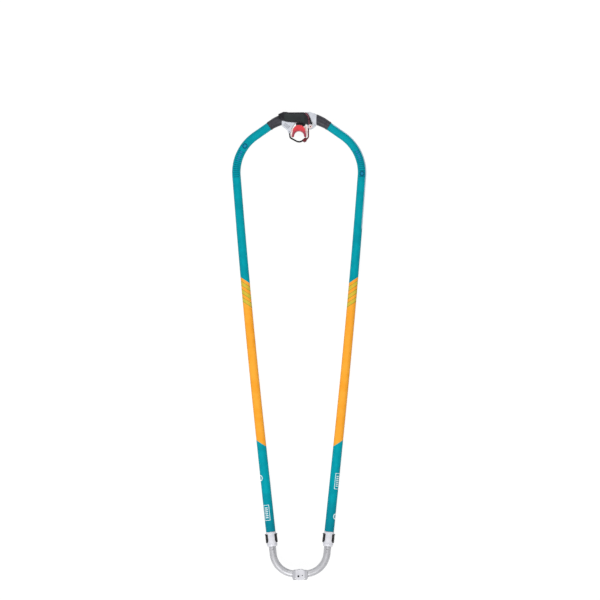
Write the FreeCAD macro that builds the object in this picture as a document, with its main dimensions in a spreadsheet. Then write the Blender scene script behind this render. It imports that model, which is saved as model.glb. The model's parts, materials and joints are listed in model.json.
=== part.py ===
"""Wishbone boom for a windsurfer: a clamp head with lever and strap, two bent arms, and a telescopic tail.

Millimetres. The origin is the axis of the mast in the clamp, at the mid-height of the boom.
+X is to the right, +Y points ahead of the mast, +Z is up along the mast.
"""

import FreeCAD
import Part
import Sketcher

import math
import os

from FreeCAD import Placement, Rotation, Vector

# Each dimension: its alias in the sheet, its value in millimetres or degrees, and what it is.
DIMENSIONS = [
    ("mast_radius", 17.5, "radius of the mast that the jaw and strap close on"),
    ("jaw_outer_radius", 22.0, "outer radius of the jaw's arch"),
    ("jaw_arch_centre", 17.5, "centre of the jaw's arch ahead of the mast axis"),
    ("jaw_flare", 10.3, "lean of the jaw's sides outward to its lips, degrees"),
    ("jaw_half_height", 42.0, "half the jaw's height along the mast"),
    ("jaw_lip_end", 3.5, "how far the jaw's lips reach behind the mast axis"),
    ("jaw_mouth_flare", 3.0, "how far each inner edge of the jaw opens out at its lip"),
    ("jaw_edge_round", 2.5, "rounding of the jaw's outer rims"),
    ("cheek_half_height", 30.0, "half the height of the jaw's side cheeks"),
    ("carrier_half_height", 26.8, "half the height of the jaw carrier"),
    ("core_half_height", 27.0, "half the height of the head casing under the lever"),
    ("wedge_half_height", 34.0, "half the height of the head casing beside the lever"),
    ("ear_inner", 16.0, "inner face of the ears that hold the lever"),
    ("pivot_x", 40.4, "lever pivot, right of the mast axis"),
    ("pivot_y", 33.6, "lever pivot, ahead of the mast axis"),
    ("pivot_radius", 3.0, "lever pivot screw"),
    ("pivot_play", 0.06, "running clearance of pins and screws in their holes"),
    ("ear_radius", 7.8, "ear round the lever pivot"),
    ("lever_half_height", 32.0, "half the lever's height"),
    ("lever_hollow", 27.6, "half the height of the lever's hollow"),
    ("lever_edge_round", 2.2, "rounding of the lever's rims"),
    ("cap_radius", 6.3, "pivot cap"),
    ("cap_lift", 32.3, "underside of the pivot cap above mid-height"),
    ("cap_height", 2.0, "thickness of the pivot cap"),
    ("cap_bore", 2.2, "bore of the pivot cap"),
    ("cap_edge_round", 0.6, "rounding of the pivot cap's rim"),
    ("hook_offset", 7.0, "hook pin from the lever pivot, to the left and ahead alike"),
    ("hook_radius", 1.5, "hook pin of the lever"),
    ("anchor_x", -34.0, "strap anchor pin, across"),
    ("anchor_y", 14.5, "strap anchor pin, ahead of the mast axis"),
    ("anchor_radius", 2.0, "strap anchor pin"),
    ("anchor_gap", 21.5, "inner face of the ears that hold the strap"),
    ("strap_half_height", 21.0, "half the strap's height"),
    ("strap_radius", 20.0, "radius of the strap's middle line round the back of the mast"),
    ("strap_corner_x", -32.4, "corner of the strap beside the jaw, across"),
    ("strap_corner_y", -5.3, "corner of the strap beside the jaw, ahead of the mast axis"),
    ("strap_corner_radius", 10.0, "bend of the strap's middle line at that corner"),
    ("strap_thickness", 4.8, "thickness of the strap"),
    ("strap_eye_radius", 4.6, "eye of the strap round its anchor pin"),
    ("strap_end_half_height", 24.0, "half the height of the moulded strap end"),
    ("band_half_height", 11.0, "half the height of the tension band"),
    ("band_thickness", 4.8, "thickness of the tension band"),
    ("front_height", 61.25, "arm axis ahead of the mast axis, at the head"),
    ("arm_start", 6.0, "inner end of an arm from the middle plane"),
    ("front_bend_start", 20.5, "start of the front bend from the middle plane"),
    ("front_bend_radius", 157.5, "radius of the front bend"),
    ("front_bend_turn", 34.9, "turn of the front bend, degrees"),
    ("shoulder_length", 56.2, "straight between the two bends"),
    ("big_bend_radius", 159.0, "radius of the big bend"),
    ("big_bend_end", 94.35, "heading at the end of the big bend, degrees"),
    ("bow_radius", 32400.0, "radius of the slight bow of the arm"),
    ("leg_angle", 5.95, "lean of the tail legs to the boom's long axis, degrees"),
    ("grip_front_radius", 15.0, "grip at its front end"),
    ("grip_rear_radius", 17.0, "grip at its rear end"),
    ("tube_front_radius", 13.0, "arm tube at the head"),
    ("tube_rear_radius", 14.5, "arm tube at the collar"),
    ("tube_bore_radius", 11.2, "bore of the arm tube ahead of its sliding stretch"),
    ("slide_bore_radius", 13.0, "bore of the arm tube where the tail leg slides"),
    ("slide_bore_start", 50.0, "start of the sliding bore along the straight leg"),
    ("joiner_turn", 10.0, "how far the joiner reaches into each front bend, degrees"),
    ("sleeve_start", 62.6, "inner end of the moulded sleeve from the middle plane"),
    ("sleeve_hidden_turn", 10.0, "where the sleeve's sweep starts, inside the casing's room, degrees"),
    ("sleeve_turn", 33.3, "where the sleeve ends along the front bend, degrees"),
    ("sleeve_inner_radius", 20.0, "sleeve at the head"),
    ("sleeve_outer_radius", 15.6, "sleeve at the grip"),
    ("sleeve_rise", 4.4, "how far the sleeve's inner end sits ahead of the arm axis"),
    ("grip_end", 373.0, "rear end of the grip along the straight leg"),
    ("collar_start", 373.5, "front end of the collar along the straight leg"),
    ("collar_ring_length", 4.5, "length of the collar's front ring"),
    ("collar_ring_radius", 17.8, "radius of the collar's front ring"),
    ("collar_length", 51.7, "length of the collar"),
    ("collar_radius", 18.5, "radius of the collar"),
    ("collar_nose_radius", 17.0, "radius of the collar's rear edge"),
    ("collar_nose_length", 4.5, "length of the collar's rear taper"),
    ("tube_end", 416.0, "rear end of the arm tube along the straight leg"),
    ("collar_lip", 2.0, "thickness of the lip that keeps the liner in"),
    ("collar_mouth_radius", 13.2, "mouth of the collar's lip"),
    ("liner_bore_radius", 12.78, "bore of the collar liner"),
    ("clip_start", 379.0, "front end of a clip along the straight leg"),
    ("clip_length", 33.0, "length of a clip"),
    ("clip_gap", 0.3, "clip clear of the collar"),
    ("clip_notch_depth", 8.0, "inner end of the clip's notch from the leg's axis"),
    ("clip_notch_margin", 3.0, "clip's notch past the outside of the clip"),
    ("clip_notch_lead", 1.0, "clip's notch ahead of the clip"),
    ("clip_radius", 21.0, "outer radius of a clip"),
    ("clip_half_width", 14.6, "half the width of a clip across the leg"),
    ("clip_corner", 8.0, "rounding of a clip's corners"),
    ("hinge_x", 20.2, "clip hinge pin from the leg's axis"),
    ("hinge_station", 382.0, "clip hinge pin along the straight leg"),
    ("hinge_radius", 1.2, "clip hinge pin"),
    ("hinge_half_length", 8.8, "half the length of a clip hinge pin"),
    ("clip_knuckle_radius", 2.3, "clip round its hinge pin"),
    ("clip_knuckle_half", 9.0, "half the length of the clip's knuckle"),
    ("lug_half_width", 4.0, "half the width of the collar's lug inside the clip's knuckle"),
    ("lug_radius", 2.2, "collar lug round the clip's hinge pin"),
    ("lug_foot", 16.0, "inner end of the collar's lug from the leg's axis"),
    ("lock_station", 406.0, "lock pin along the straight leg"),
    ("lock_radius", 2.0, "lock pin"),
    ("lock_hole_radius", 3.2, "hole for the lock pin"),
    ("lock_tip", 13.2, "tip of the lock pin from the leg's axis"),
    ("leg_radius", 12.7, "tail tube"),
    ("leg_bore_radius", 11.2, "bore of the tail tube"),
    ("leg_start", 85.0, "inner end of the tail leg along the straight leg"),
    ("plug_length", 26.0, "length of the plug in the tail leg's inner end"),
    ("tail_bend_radius", 80.0, "radius of the tail bend"),
    ("tail_bottom", 1564.5, "axis of the tail's cross run behind the mast axis"),
    ("tail_gap", 22.5, "end of each tail tube from the middle plane, inside the end fitting"),
    ("leg_hole_radius", 2.9, "adjustment hole in the tail leg"),
    ("leg_hole_pitch", 50.0, "spacing of the adjustment holes"),
    ("fitting_half_height", 16.5, "half the height of the tail end fitting"),
    ("fitting_bore_radius", 12.8, "bore of the tail end fitting"),
    ("fitting_slot_half", 12.9, "half the height of the fitting's open front"),
    ("fitting_wall_half", 2.6, "half the width of the fitting's front wall"),
    ("eye_x", 17.0, "outhaul eye from the middle plane"),
    ("eye_y", -1581.8, "outhaul eye and roller behind the mast axis"),
    ("eye_radius", 2.5, "outhaul eye"),
    ("roller_radius", 3.6, "outhaul roller"),
    ("roller_half_height", 4.6, "half the height of the outhaul roller"),
    ("roller_slot_half_height", 5.0, "half the height of the roller's slot"),
    ("roller_slot_half_width", 8.0, "half the width of the roller's slot"),
    ("axle_radius", 1.2, "roller axle"),
    ("axle_half_length", 15.5, "half the length of the roller axle"),
]

# Outlines seen from above: corners as x, y and rounding radius.
CORE_OUTLINE = [
    (-62.0, 37.6, 2.0),
    (-52.0, 29.3, 2.0),
    (-41.0, 20.6, 1.5),
    (-28.4, 20.6, 1.5),
    (-26.4, 26.0, 1.5),
    (-19.8, 37.4, 3.0),
    (-12.5, 46.5, 1.0),
    (50.5, 46.5, 2.0),
    (50.5, 37.5, 1.5),
    (45.0, 36.0, 1.0),
    (45.0, 24.5, 2.0),
    (55.0, 31.0, 3.0),
    (62.2, 38.0, 3.0),
    (62.2, 78.0, 3.0),
    (40.0, 86.2, 8.0),
    (24.5, 84.0, 4.0),
    (11.0, 78.5, 6.0),
    (-57.0, 78.5, 4.0),
    (-62.0, 73.0, 2.0),
]
WEDGE_OUTLINE = [
    (-61.3, 38.2, 3.0),
    (-51.6, 30.0, 3.0),
    (-41.2, 21.4, 1.5),
    (-39.6, 13.2, 4.0),
    (-34.0, 8.6, 4.5),
    (-28.6, 13.2, 4.0),
    (-26.7, 26.0, 2.0),
    (-20.2, 37.6, 3.0),
    (-14.0, 47.8, 1.5),
    (-39.2, 49.5, 6.0),
    (-61.3, 54.9, 2.0),
]
LEVER_OUTLINE = [
    (-75.5, 78.0, 3.0),
    (-56.0, 86.6, 8.0),
    (-44.0, 86.2, 3.0),
    (-37.0, 84.6, 3.0),
    (20.0, 84.8, 16.0),
    (37.5, 71.0, 24.0),
    (48.4, 42.0, 9.0),
    (48.4, 25.6, 7.8),
    (32.4, 25.6, 7.8),
    (30.5, 41.6, 3.0),
    (-14.0, 49.4, 12.0),
    (-39.0, 51.0, 14.0),
    (-62.8, 56.6, 3.0),
]
LEVER_HOLLOW_OUTLINE = [
    (-90.0, 69.4, 0.0),
    (-54.0, 82.9, 10.0),
    (12.0, 80.6, 0.0),
    (12.0, 95.0, 0.0),
    (60.0, 95.0, 0.0),
    (60.0, 15.0, 0.0),
    (-90.0, 15.0, 0.0),
]
CARRIER_OUTLINE = [
    (-11.5, 46.2, 1.5),
    (-11.0, 39.0, 2.0),
    (-5.0, 36.0, 1.5),
    (17.0, 35.0, 1.5),
    (23.0, 38.5, 2.0),
    (23.2, 46.2, 1.5),
]
LEFT_CHEEK_OUTLINE = [
    (-19.0, 28.0, 0.0),
    (-22.0, -2.6, 0.0),
    (-27.6, -2.6, 1.0),
    (-29.8, 0.4, 2.0),
    (-29.8, 7.4, 1.5),
    (-27.0, 10.6, 1.0),
    (-27.0, 20.0, 3.0),
    (-25.0, 28.0, 1.0),
]
RIGHT_CHEEK_OUTLINE = [
    (19.0, 0.5, 0.0),
    (19.0, 34.5, 0.0),
    (23.6, 34.5, 0.0),
    (23.6, 37.6, 0.5),
    (26.4, 38.0, 1.0),
    (29.0, 34.0, 2.0),
    (29.0, 2.5, 2.0),
    (27.2, 0.5, 0.5),
]
STRAP_END_OUTLINE = [
    (12.8, -12.8, 0.8),
    (18.4, -6.8, 2.0),
    (26.2, -5.2, 2.0),
    (28.6, -10.6, 3.0),
    (25.8, -19.6, 3.0),
    (18.6, -22.0, 3.0),
    (13.2, -18.8, 1.5),
]
FITTING_OUTLINE = [
    (-27.0, -1560.0, 2.0),
    (-24.0, -1551.0, 3.0),
    (-9.0, -1549.4, 3.0),
    (-6.0, -1547.8, 2.0),
    (9.0, -1547.8, 2.0),
    (12.5, -1550.4, 2.0),
    (24.0, -1551.4, 3.0),
    (27.0, -1560.0, 2.0),
    (28.0, -1578.0, 2.5),
    (24.0, -1585.4, 3.0),
    (10.0, -1585.4, 2.0),
    (6.0, -1587.2, 2.0),
    (-6.0, -1587.2, 2.0),
    (-10.0, -1585.8, 2.0),
    (-25.0, -1586.2, 3.0),
    (-28.0, -1577.0, 2.5),
]

HEAD_SCREW_PLACES = [(-50.0, 37.5), (-56.5, 75.0), (32.0, 79.4), (56.5, 38.5)]
HEAD_SCREW_RADIUS = 1.6
HEAD_SCREW_HEAD_RADIUS = 3.0
HEAD_SCREW_HALF_LENGTH = 24.6
HEAD_SCREW_HEAD_HEIGHT = 2.2
NECK_RIGHT = 46.5
NECK_AHEAD = 36.2
JAW_SCREW_RADIUS = 1.5
JAW_SCREW_HEAD_RADIUS = 2.8
JAW_SCREW_HEAD_HEIGHT = 1.4
JAW_SCREW_TIP = 19.5
JAW_SCREW_Y = 14.0
JAW_SCREW_LEVEL = 14.0
LEFT_CHEEK_FACE = 27.0
RIGHT_CHEEK_FACE = 29.0
STRAP_END_ANGLE = -38.0
RIVET_ANGLE = -44.0
RIVET_NEAR = 17.8
RIVET_LENGTH = 12.9
RIVET_RADIUS = 1.8
RIVET_LEVEL = 17.0
BAND_FOOT = (24.0, -15.0)
BAND_TURN_Y = -3.0
BAND_TURN_RADIUS = 6.0
CRADLE_WIDTH = 6.0
CRADLE_DEPTH = 6.0
CRADLE_LIP_DROP = 0.8
CRADLE_GAP = 0.4
FITTING_SCREWS = [("large", -6.0, -1572.5, 3.6), ("small", 8.0, -1570.0, 2.0)]
FITTING_SCREW_HEIGHT = 2.6
FITTING_SCREW_DEPTH = 2.4
SIDES = {"left": -1, "right": 1}
CLIP_SIDES = {"inner": -1, "outer": 1}

doc = FreeCAD.newDocument("wishbone_boom")
sheet = doc.addObject("Spreadsheet::Sheet", "Dimensions")
for row, (alias, value, meaning) in enumerate(DIMENSIONS, start=1):
    sheet.set(f"A{row}", meaning)
    sheet.set(f"B{row}", str(value))
    sheet.setAlias(f"B{row}", alias)
doc.recompute()
SIZE = {alias: value for alias, value, _ in DIMENSIONS}
PARTS = []
UP = Vector(0, 0, 1)
ACROSS = Vector(0, 1, 0)


def cell(formula):
    """An expression on the sheet: each alias in the formula gets the sheet's name in front."""
    words = formula.replace("(", "( ").replace(")", " )").split()
    return " ".join(f"Dimensions.{word}" if word in SIZE else word for word in words)


def amount(formula):
    """The number that a formula of sheet aliases comes to."""
    value = 0.0
    sign = 1
    for word in formula.split():
        if word in "+-":
            sign = 1 if word == "+" else -1
        else:
            value += sign * (SIZE[word] if word in SIZE else float(word))
    return value


def part(feature, label):
    """Marks a finished sub-part: its label names its file."""
    feature.Label = label
    PARTS.append(feature)
    return feature


# ---------------------------------------------------------------- outlines, sketches and solids


def rounded_outline(corners):
    """The sides and corner arcs of a closed outline, in order."""
    entries, exits, middles = [], [], []
    for index, (x, y, radius) in enumerate(corners):
        here = Vector(x, y, 0)
        back = (Vector(*corners[index - 1][:2], 0) - here).normalize()
        ahead = (Vector(*corners[(index + 1) % len(corners)][:2], 0) - here).normalize()
        half = back.getAngle(ahead) / 2
        reach = radius / math.tan(half)
        centre = here + (back + ahead).normalize() * (radius / math.sin(half))
        entries.append(here + back * reach)
        exits.append(here + ahead * reach)
        middles.append(centre + (here - centre).normalize() * radius if radius else here)
    edges = []
    for index, corner in enumerate(corners):
        if corner[2]:
            edges.append(Part.Arc(entries[index], middles[index], exits[index]))
        edges.append(Part.LineSegment(exits[index], entries[(index + 1) % len(corners)]))
    return edges


def new_body(name):
    return doc.addObject("PartDesign::Body", name)


def new_sketch(body, name, lift="0", role="XY_Plane"):
    """A sketch on one of the body's own planes, lifted off it by a formula."""
    sketch = body.newObject("Sketcher::SketchObject", name)
    base = next(f for f in body.Origin.OriginFeatures if f.Role == role)
    sketch.AttachmentSupport = [(base, "")]
    sketch.MapMode = "FlatFace"
    sketch.setExpression("AttachmentOffset.Base.z", cell(lift))
    return sketch


def outline_sketch(body, name, corners, lift="0"):
    sketch = new_sketch(body, name, lift)
    sketch.addGeometry(rounded_outline(corners), False)
    return sketch


def add_circle(sketch, radius, x="0", y="0"):
    """A circle whose radius and centre are bound to the sheet."""
    centre = Vector(amount(x), amount(y), 0)
    index = sketch.addGeometry(Part.Circle(centre, Vector(0, 0, 1), amount(radius)), False)
    row = sketch.addConstraint(Sketcher.Constraint("Radius", index, amount(radius)))
    sketch.setExpression(f"Constraints[{row}]", cell(radius))
    for kind, formula in (("DistanceX", x), ("DistanceY", y)):
        if amount(formula):
            limit = Sketcher.Constraint(kind, -1, 1, index, 3, amount(formula))
            row = sketch.addConstraint(limit)
            sketch.setExpression(f"Constraints[{row}]", cell(formula))
    return index


def circle_sketch(body, name, radius, x="0", y="0", lift="0", role="XY_Plane"):
    sketch = new_sketch(body, name, lift, role)
    add_circle(sketch, radius, x, y)
    return sketch


def pad(body, name, sketch, length, midplane=False):
    feature = body.newObject("PartDesign::Pad", name)
    feature.Profile = sketch
    feature.setExpression("Length", cell(length))
    feature.Midplane = midplane
    sketch.Visibility = False
    return feature


def pocket(body, name, sketch, length, midplane=False):
    """A pocket that cuts on the side of the sketch's normal, or on both sides of it."""
    feature = body.newObject("PartDesign::Pocket", name)
    feature.Profile = sketch
    feature.setExpression("Length", cell(length))
    feature.Midplane = midplane
    feature.Reversed = not midplane
    return feature


def round_edges(body, name, radius, wanted):
    """Fillets the edges of the body's last solid that the test picks out."""
    doc.recompute()
    base = body.Tip
    names = [f"Edge{n}" for n, edge in enumerate(base.Shape.Edges, start=1) if wanted(edge)]
    feature = body.newObject("PartDesign::Fillet", name)
    feature.Base = (base, names)
    feature.Radius = radius
    return feature


def flat_at(height):
    """Picks the edges that lie at a height, above or below."""

    def wanted(edge):
        box = edge.BoundBox
        return min(abs(box.ZMin - height), abs(box.ZMin + height)) < 1e-3 and box.ZLength < 1e-3

    return wanted


def cylinder(name, radius, start, length, place=None, along=None):
    """A cylinder from a point, along a direction, with its sizes bound to the sheet."""
    feature = doc.addObject("Part::Cylinder", name)
    feature.setExpression("Radius", cell(radius))
    feature.setExpression("Height", cell(length))
    turn = Rotation(Vector(0, 0, 1), along or Vector(0, 0, 1))
    feature.Placement = (place or Placement()) * Placement(start, turn)
    return feature


def turned_to(name, radius, length, start, along):
    """A round bar of fixed size from a point along a direction."""
    bar = doc.addObject("Part::Cylinder", name)
    bar.Radius = radius
    bar.Height = length
    bar.Placement = Placement(start, Rotation(Vector(0, 0, 1), along))
    return bar


def box(name, low, high, place=None):
    """A block from its low corner to its high corner, given as formulas of the sheet."""
    feature = doc.addObject("Part::Box", name)
    corner = Vector(*(amount(formula) for formula in low))
    for side, begin, end in zip(("Length", "Width", "Height"), low, high):
        feature.setExpression(side, cell(f"{end} - ( {begin} )"))
    feature.Placement = (place or Placement()) * Placement(corner, Rotation())
    return feature


def joined(name, features):
    fusion = doc.addObject("Part::MultiFuse", name)
    fusion.Shapes = features
    return fusion


def grouped(name, features):
    """Separate solids that share one node."""
    group = doc.addObject("Part::Compound", name)
    group.Links = features
    return group


def cut(name, base, tool):
    feature = doc.addObject("Part::Cut", name)
    feature.Base = base
    feature.Tool = tool
    return feature


def ring_of_arcs(name, radius, point, heading):
    """A circle in six arcs, square to a heading."""
    feature = doc.addObject("Part::Feature", name)
    circle = Part.Circle(Vector(0, 0, 0), Vector(0, 0, 1), SIZE[radius])
    sixth = math.pi / 3
    feature.Shape = Part.Wire([circle.toShape(number * sixth, (number + 1) * sixth) for number in range(6)])
    feature.Placement = Placement(point, Rotation(Vector(0, 0, 1), heading))
    return feature


def swept(name, edges, sections):
    """A sweep of round sections along a run of edges; each section is a radius, a point and a heading."""
    spine = doc.addObject("Part::Feature", f"{name}_spine")
    spine.Shape = Part.Wire([edge.toShape() for edge in edges])
    rings = [ring_of_arcs(f"{name}_section_{number}", *section) for number, section in enumerate(sections)]
    sweep = doc.addObject("Part::Sweep", name)
    sweep.Sections = rings
    sweep.Spine = (spine, [])
    sweep.Solid = True
    return sweep


# ---------------------------------------------------------------- the line of an arm and of its tail leg


class Route:
    """A flat run of tangent lines and arcs, drawn from a point with a heading in degrees."""

    def __init__(self, side, x, y, heading=0.0):
        self.side = side
        self.x = x
        self.y = y
        self.heading = math.radians(heading)
        self.edges = []

    def point(self):
        return Vector(self.side * self.x, self.y, 0)

    def direction(self):
        return Vector(self.side * math.cos(self.heading), math.sin(self.heading), 0)

    def straight(self, length):
        start = self.point()
        self.x += length * math.cos(self.heading)
        self.y += length * math.sin(self.heading)
        self.edges.append(Part.LineSegment(start, self.point()))
        return self

    def bend(self, radius, turn):
        """An arc to the right hand, by a turn in degrees."""
        centre_x = self.x + radius * math.sin(self.heading)
        centre_y = self.y - radius * math.cos(self.heading)
        points = [self.point()]
        for _ in range(2):
            self.heading -= math.radians(turn) / 2
            self.x = centre_x - radius * math.sin(self.heading)
            self.y = centre_y + radius * math.cos(self.heading)
            points.append(self.point())
        self.edges.append(Part.Arc(*points))
        return self


def on_front_bend(side, turn):
    """A route that starts on the front bend, after a turn in degrees."""
    radius = SIZE["front_bend_radius"]
    angle = math.radians(turn)
    x = SIZE["front_bend_start"] + radius * math.sin(angle)
    y = SIZE["front_height"] - radius * (1 - math.cos(angle))
    return Route(side, x, y, -turn)


def bends_to_leg(route, turn_done):
    """Carries a route on from the front bend to the start of the straight leg."""
    route.bend(SIZE["front_bend_radius"], SIZE["front_bend_turn"] - turn_done)
    route.straight(SIZE["shoulder_length"])
    route.bend(SIZE["big_bend_radius"], SIZE["big_bend_end"] - SIZE["front_bend_turn"])
    route.bend(SIZE["bow_radius"], 90 + SIZE["leg_angle"] - SIZE["big_bend_end"])
    return route


def arm_route(side, end):
    """An arm's axis from its inner end to a station on the straight leg."""
    route = Route(side, SIZE["arm_start"], SIZE["front_height"])
    route.straight(SIZE["front_bend_start"] - SIZE["arm_start"])
    return bends_to_leg(route, 0).straight(end)


def leg_place(side, station):
    """The frame at a station of the straight leg: Z runs to the tail, X points outward."""
    start = bends_to_leg(Route(side, SIZE["front_bend_start"], SIZE["front_height"]), 0)
    run = start.direction()
    outward = Vector(-side * run.y, side * run.x, 0)
    turn = Rotation(outward, Vector(0, 0, side), run, "ZXY")
    return Placement(start.point() + run * station, turn)


# ---------------------------------------------------------------- arms, sleeves and grips


def tapered(name, route, start_radius, end_radius, first):
    """A round sweep that tapers from its first point to its last; first is (point, heading)."""
    sections = [(start_radius, *first), (end_radius, route.point(), route.direction())]
    return swept(name, route.edges, sections)


def arm_tube(name, side):
    """The arm tube and the solid of its outside, which the sleeve, grip and casing fit round."""
    across = Vector(side, 0, 0)
    begin = Vector(side * SIZE["arm_start"], SIZE["front_height"], 0)
    route = arm_route(side, SIZE["tube_end"])
    outside = tapered(f"{name}_arm_outside", route, "tube_front_radius", "tube_rear_radius", (begin, across))
    route = arm_route(side, SIZE["tube_end"])
    inside = tapered(f"{name}_arm_inside", route, "tube_bore_radius", "tube_bore_radius", (begin, across))
    place = leg_place(side, SIZE["slide_bore_start"])
    run = place.Rotation.multVec(Vector(0, 0, 1))
    bore_route = Route(side, side * place.Base.x, place.Base.y, -90 - SIZE["leg_angle"])
    bore_route.straight(SIZE["tube_end"] - SIZE["slide_bore_start"])
    bore = tapered(f"{name}_slide_bore", bore_route, "slide_bore_radius", "slide_bore_radius", (place.Base, run))
    place = leg_place(side, 0)
    tools = [inside, bore]
    for clip, hand in CLIP_SIDES.items():
        hole_start = Vector(0, 0, SIZE["lock_station"])
        hole_name = f"{name}_{clip}_tube_hole"
        tools.append(cylinder(hole_name, "lock_hole_radius", hole_start, "collar_radius", place, Vector(hand, 0, 0)))
    part(cut(f"{name}_arm", outside, joined(f"{name}_arm_tools", tools)), f"{name}_arm_tube")
    return outside


def grip(name, side, arm_outside):
    route = on_front_bend(side, SIZE["sleeve_turn"])
    first = (route.point(), route.direction())
    bends_to_leg(route, SIZE["sleeve_turn"]).straight(SIZE["grip_end"])
    foam = tapered(f"{name}_grip_foam", route, "grip_front_radius", "grip_rear_radius", first)
    part(cut(f"{name}_grip_tube", foam, arm_outside), f"{name}_grip")


def front_sleeve(name, side, arm_outside):
    turn = SIZE["sleeve_hidden_turn"]
    route = on_front_bend(side, turn)
    start = (route.point() + Vector(0, SIZE["sleeve_rise"], 0), route.direction())
    route.bend(SIZE["front_bend_radius"], SIZE["sleeve_turn"] - turn)
    moulding = tapered(f"{name}_sleeve_block", route, "sleeve_inner_radius", "sleeve_outer_radius", start)
    casing_room = box(f"{name}_casing_room", ("- sleeve_start", "0", "- 30"), ("sleeve_start", "100", "30"))
    tools = joined(f"{name}_sleeve_tools", [arm_outside, casing_room])
    part(cut(f"{name}_sleeve_tube", moulding, tools), f"{name}_front_sleeve")


def front_joiner():
    """A bent plug through the inner ends of both arms: a straight with a short bend at each end."""
    start = Vector(-SIZE["front_bend_start"], SIZE["front_height"], 0)
    middle = cylinder("joiner_middle", "tube_bore_radius", start, "2 * front_bend_start", None, Vector(1, 0, 0))
    pieces = [middle]
    centre_y = SIZE["front_height"] - SIZE["front_bend_radius"]
    for name, side, turn in (("left", -1, 90), ("right", 1, 90 - SIZE["joiner_turn"])):
        bend = doc.addObject("Part::Torus", f"joiner_{name}_bend")
        bend.setExpression("Radius1", cell("front_bend_radius"))
        bend.setExpression("Radius2", cell("tube_bore_radius"))
        bend.setExpression("Angle3", cell("joiner_turn"))
        centre = Vector(side * SIZE["front_bend_start"], centre_y, 0)
        bend.Placement = Placement(centre, Rotation(UP, turn))
        pieces.append(bend)
    part(joined("joiner", pieces), "front_joiner")


# ---------------------------------------------------------------- the head


def head_screws():
    """Four casing screws, each with a sunk head on top and a nut below."""
    solids = []
    reach = HEAD_SCREW_HALF_LENGTH
    for number, (x, y) in enumerate(HEAD_SCREW_PLACES):
        shank = turned_to(f"head_screw_shank_{number}", HEAD_SCREW_RADIUS, 2 * reach, Vector(x, y, -reach), UP)
        ends = [shank]
        for name, way in (("head", 1), ("nut", -1)):
            seat = Vector(x, y, way * reach)
            label = f"head_screw_{name}_{number}"
            ends.append(turned_to(label, HEAD_SCREW_HEAD_RADIUS, HEAD_SCREW_HEAD_HEIGHT, seat, UP * way))
        solids.append(joined(f"head_screw_{number}", ends))
    return part(grouped("head_screw_set", solids), "head_screws")


def pivot_screws():
    """A short screw through each ear, so that the middle stays free for the tension band."""
    solids = []
    length = "cap_lift - ear_inner"
    for name, way in (("upper", 1), ("lower", -1)):
        start = Vector(SIZE["pivot_x"], SIZE["pivot_y"], way * SIZE["ear_inner"])
        along = Vector(0, 0, way)
        shank = cylinder(f"pivot_shank_{name}", "pivot_radius", start, length, None, along)
        stud_start = start + along * amount(length)
        stud = cylinder(f"pivot_stud_{name}", "cap_bore", stud_start, "cap_height - 0.5", None, along)
        solids.append(joined(f"pivot_screw_{name}", [shank, stud]))
    return part(grouped("pivot_screw_set", solids), "lever_pivot_screws")


def pivot_caps():
    solids = []
    for name, lift in (("upper", "cap_lift"), ("lower", "- cap_lift - cap_height")):
        body = new_body(f"pivot_cap_{name}")
        sketch = circle_sketch(body, f"pivot_cap_{name}_ring", "cap_radius", "pivot_x", "pivot_y", lift)
        add_circle(sketch, "cap_bore", "pivot_x", "pivot_y")
        pad(body, f"pivot_cap_{name}_pad", sketch, "cap_height")
        outer = SIZE["cap_lift"] + SIZE["cap_height"]
        round_edges(body, f"pivot_cap_{name}_round", SIZE["cap_edge_round"], flat_at(outer))
        solids.append(body)
    part(grouped("pivot_cap_set", solids), "pivot_caps")


def casing_shell(name, low, tools):
    """One half of the casing: the core under the lever, the wedge beside it, and both pairs of ears."""
    sign = 1 if low else -1
    body = new_body(f"{name}_body")
    core = outline_sketch(body, f"{name}_core_outline", CORE_OUTLINE, "0" if low else "- core_half_height")
    pad(body, f"{name}_core", core, "core_half_height")
    round_edges(body, f"{name}_core_round", 1.8, flat_at(SIZE["core_half_height"]))
    round_edges(body, f"{name}_parting_round", 0.4, flat_at(0))
    wedge_base = "anchor_gap" if low else "- wedge_half_height"
    ear_height = "wedge_half_height - anchor_gap"
    wedge = outline_sketch(body, f"{name}_wedge_outline", WEDGE_OUTLINE, wedge_base)
    pad(body, f"{name}_wedge", wedge, ear_height)
    ear_base = "ear_inner" if low else "- core_half_height"
    ear = circle_sketch(body, f"{name}_ear_outline", "ear_radius", "pivot_x", "pivot_y", ear_base)
    pad(body, f"{name}_ear", ear, "core_half_height - ear_inner")
    neck = outline_sketch(body, f"{name}_neck_outline", ear_neck_outline(), ear_base)
    pad(body, f"{name}_neck", neck, "core_half_height - ear_inner")
    round_edges(body, f"{name}_wedge_round", 1.6, flat_at(sign * SIZE["wedge_half_height"]))
    doc.recompute()
    return part(cut(name, body, tools), name)


def ear_neck_outline():
    """The neck from the lever's ear into the right side of the casing."""
    x = SIZE["pivot_x"]
    low = SIZE["pivot_y"] - SIZE["ear_radius"]
    return [(x, low, 0.0), (NECK_RIGHT, low, 0.0), (NECK_RIGHT, NECK_AHEAD, 0.0), (x, NECK_AHEAD, 0.0)]


def casing_tools(arm_outsides, fasteners):
    """Everything that passes through the casing: both arms and the screws and pins."""
    middle = cylinder(
        "joiner_room", "tube_front_radius", Vector(-SIZE["arm_start"], SIZE["front_height"], 0),
        "arm_start + arm_start", None, Vector(1, 0, 0),
    )
    return joined("casing_tools", [*arm_outsides, middle, *fasteners])


def anchor_pin():
    start = Vector(SIZE["anchor_x"], SIZE["anchor_y"], -SIZE["wedge_half_height"])
    length = "wedge_half_height + wedge_half_height"
    return part(cylinder("anchor_pin", "anchor_radius", start, length), "strap_anchor_pin")


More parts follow.
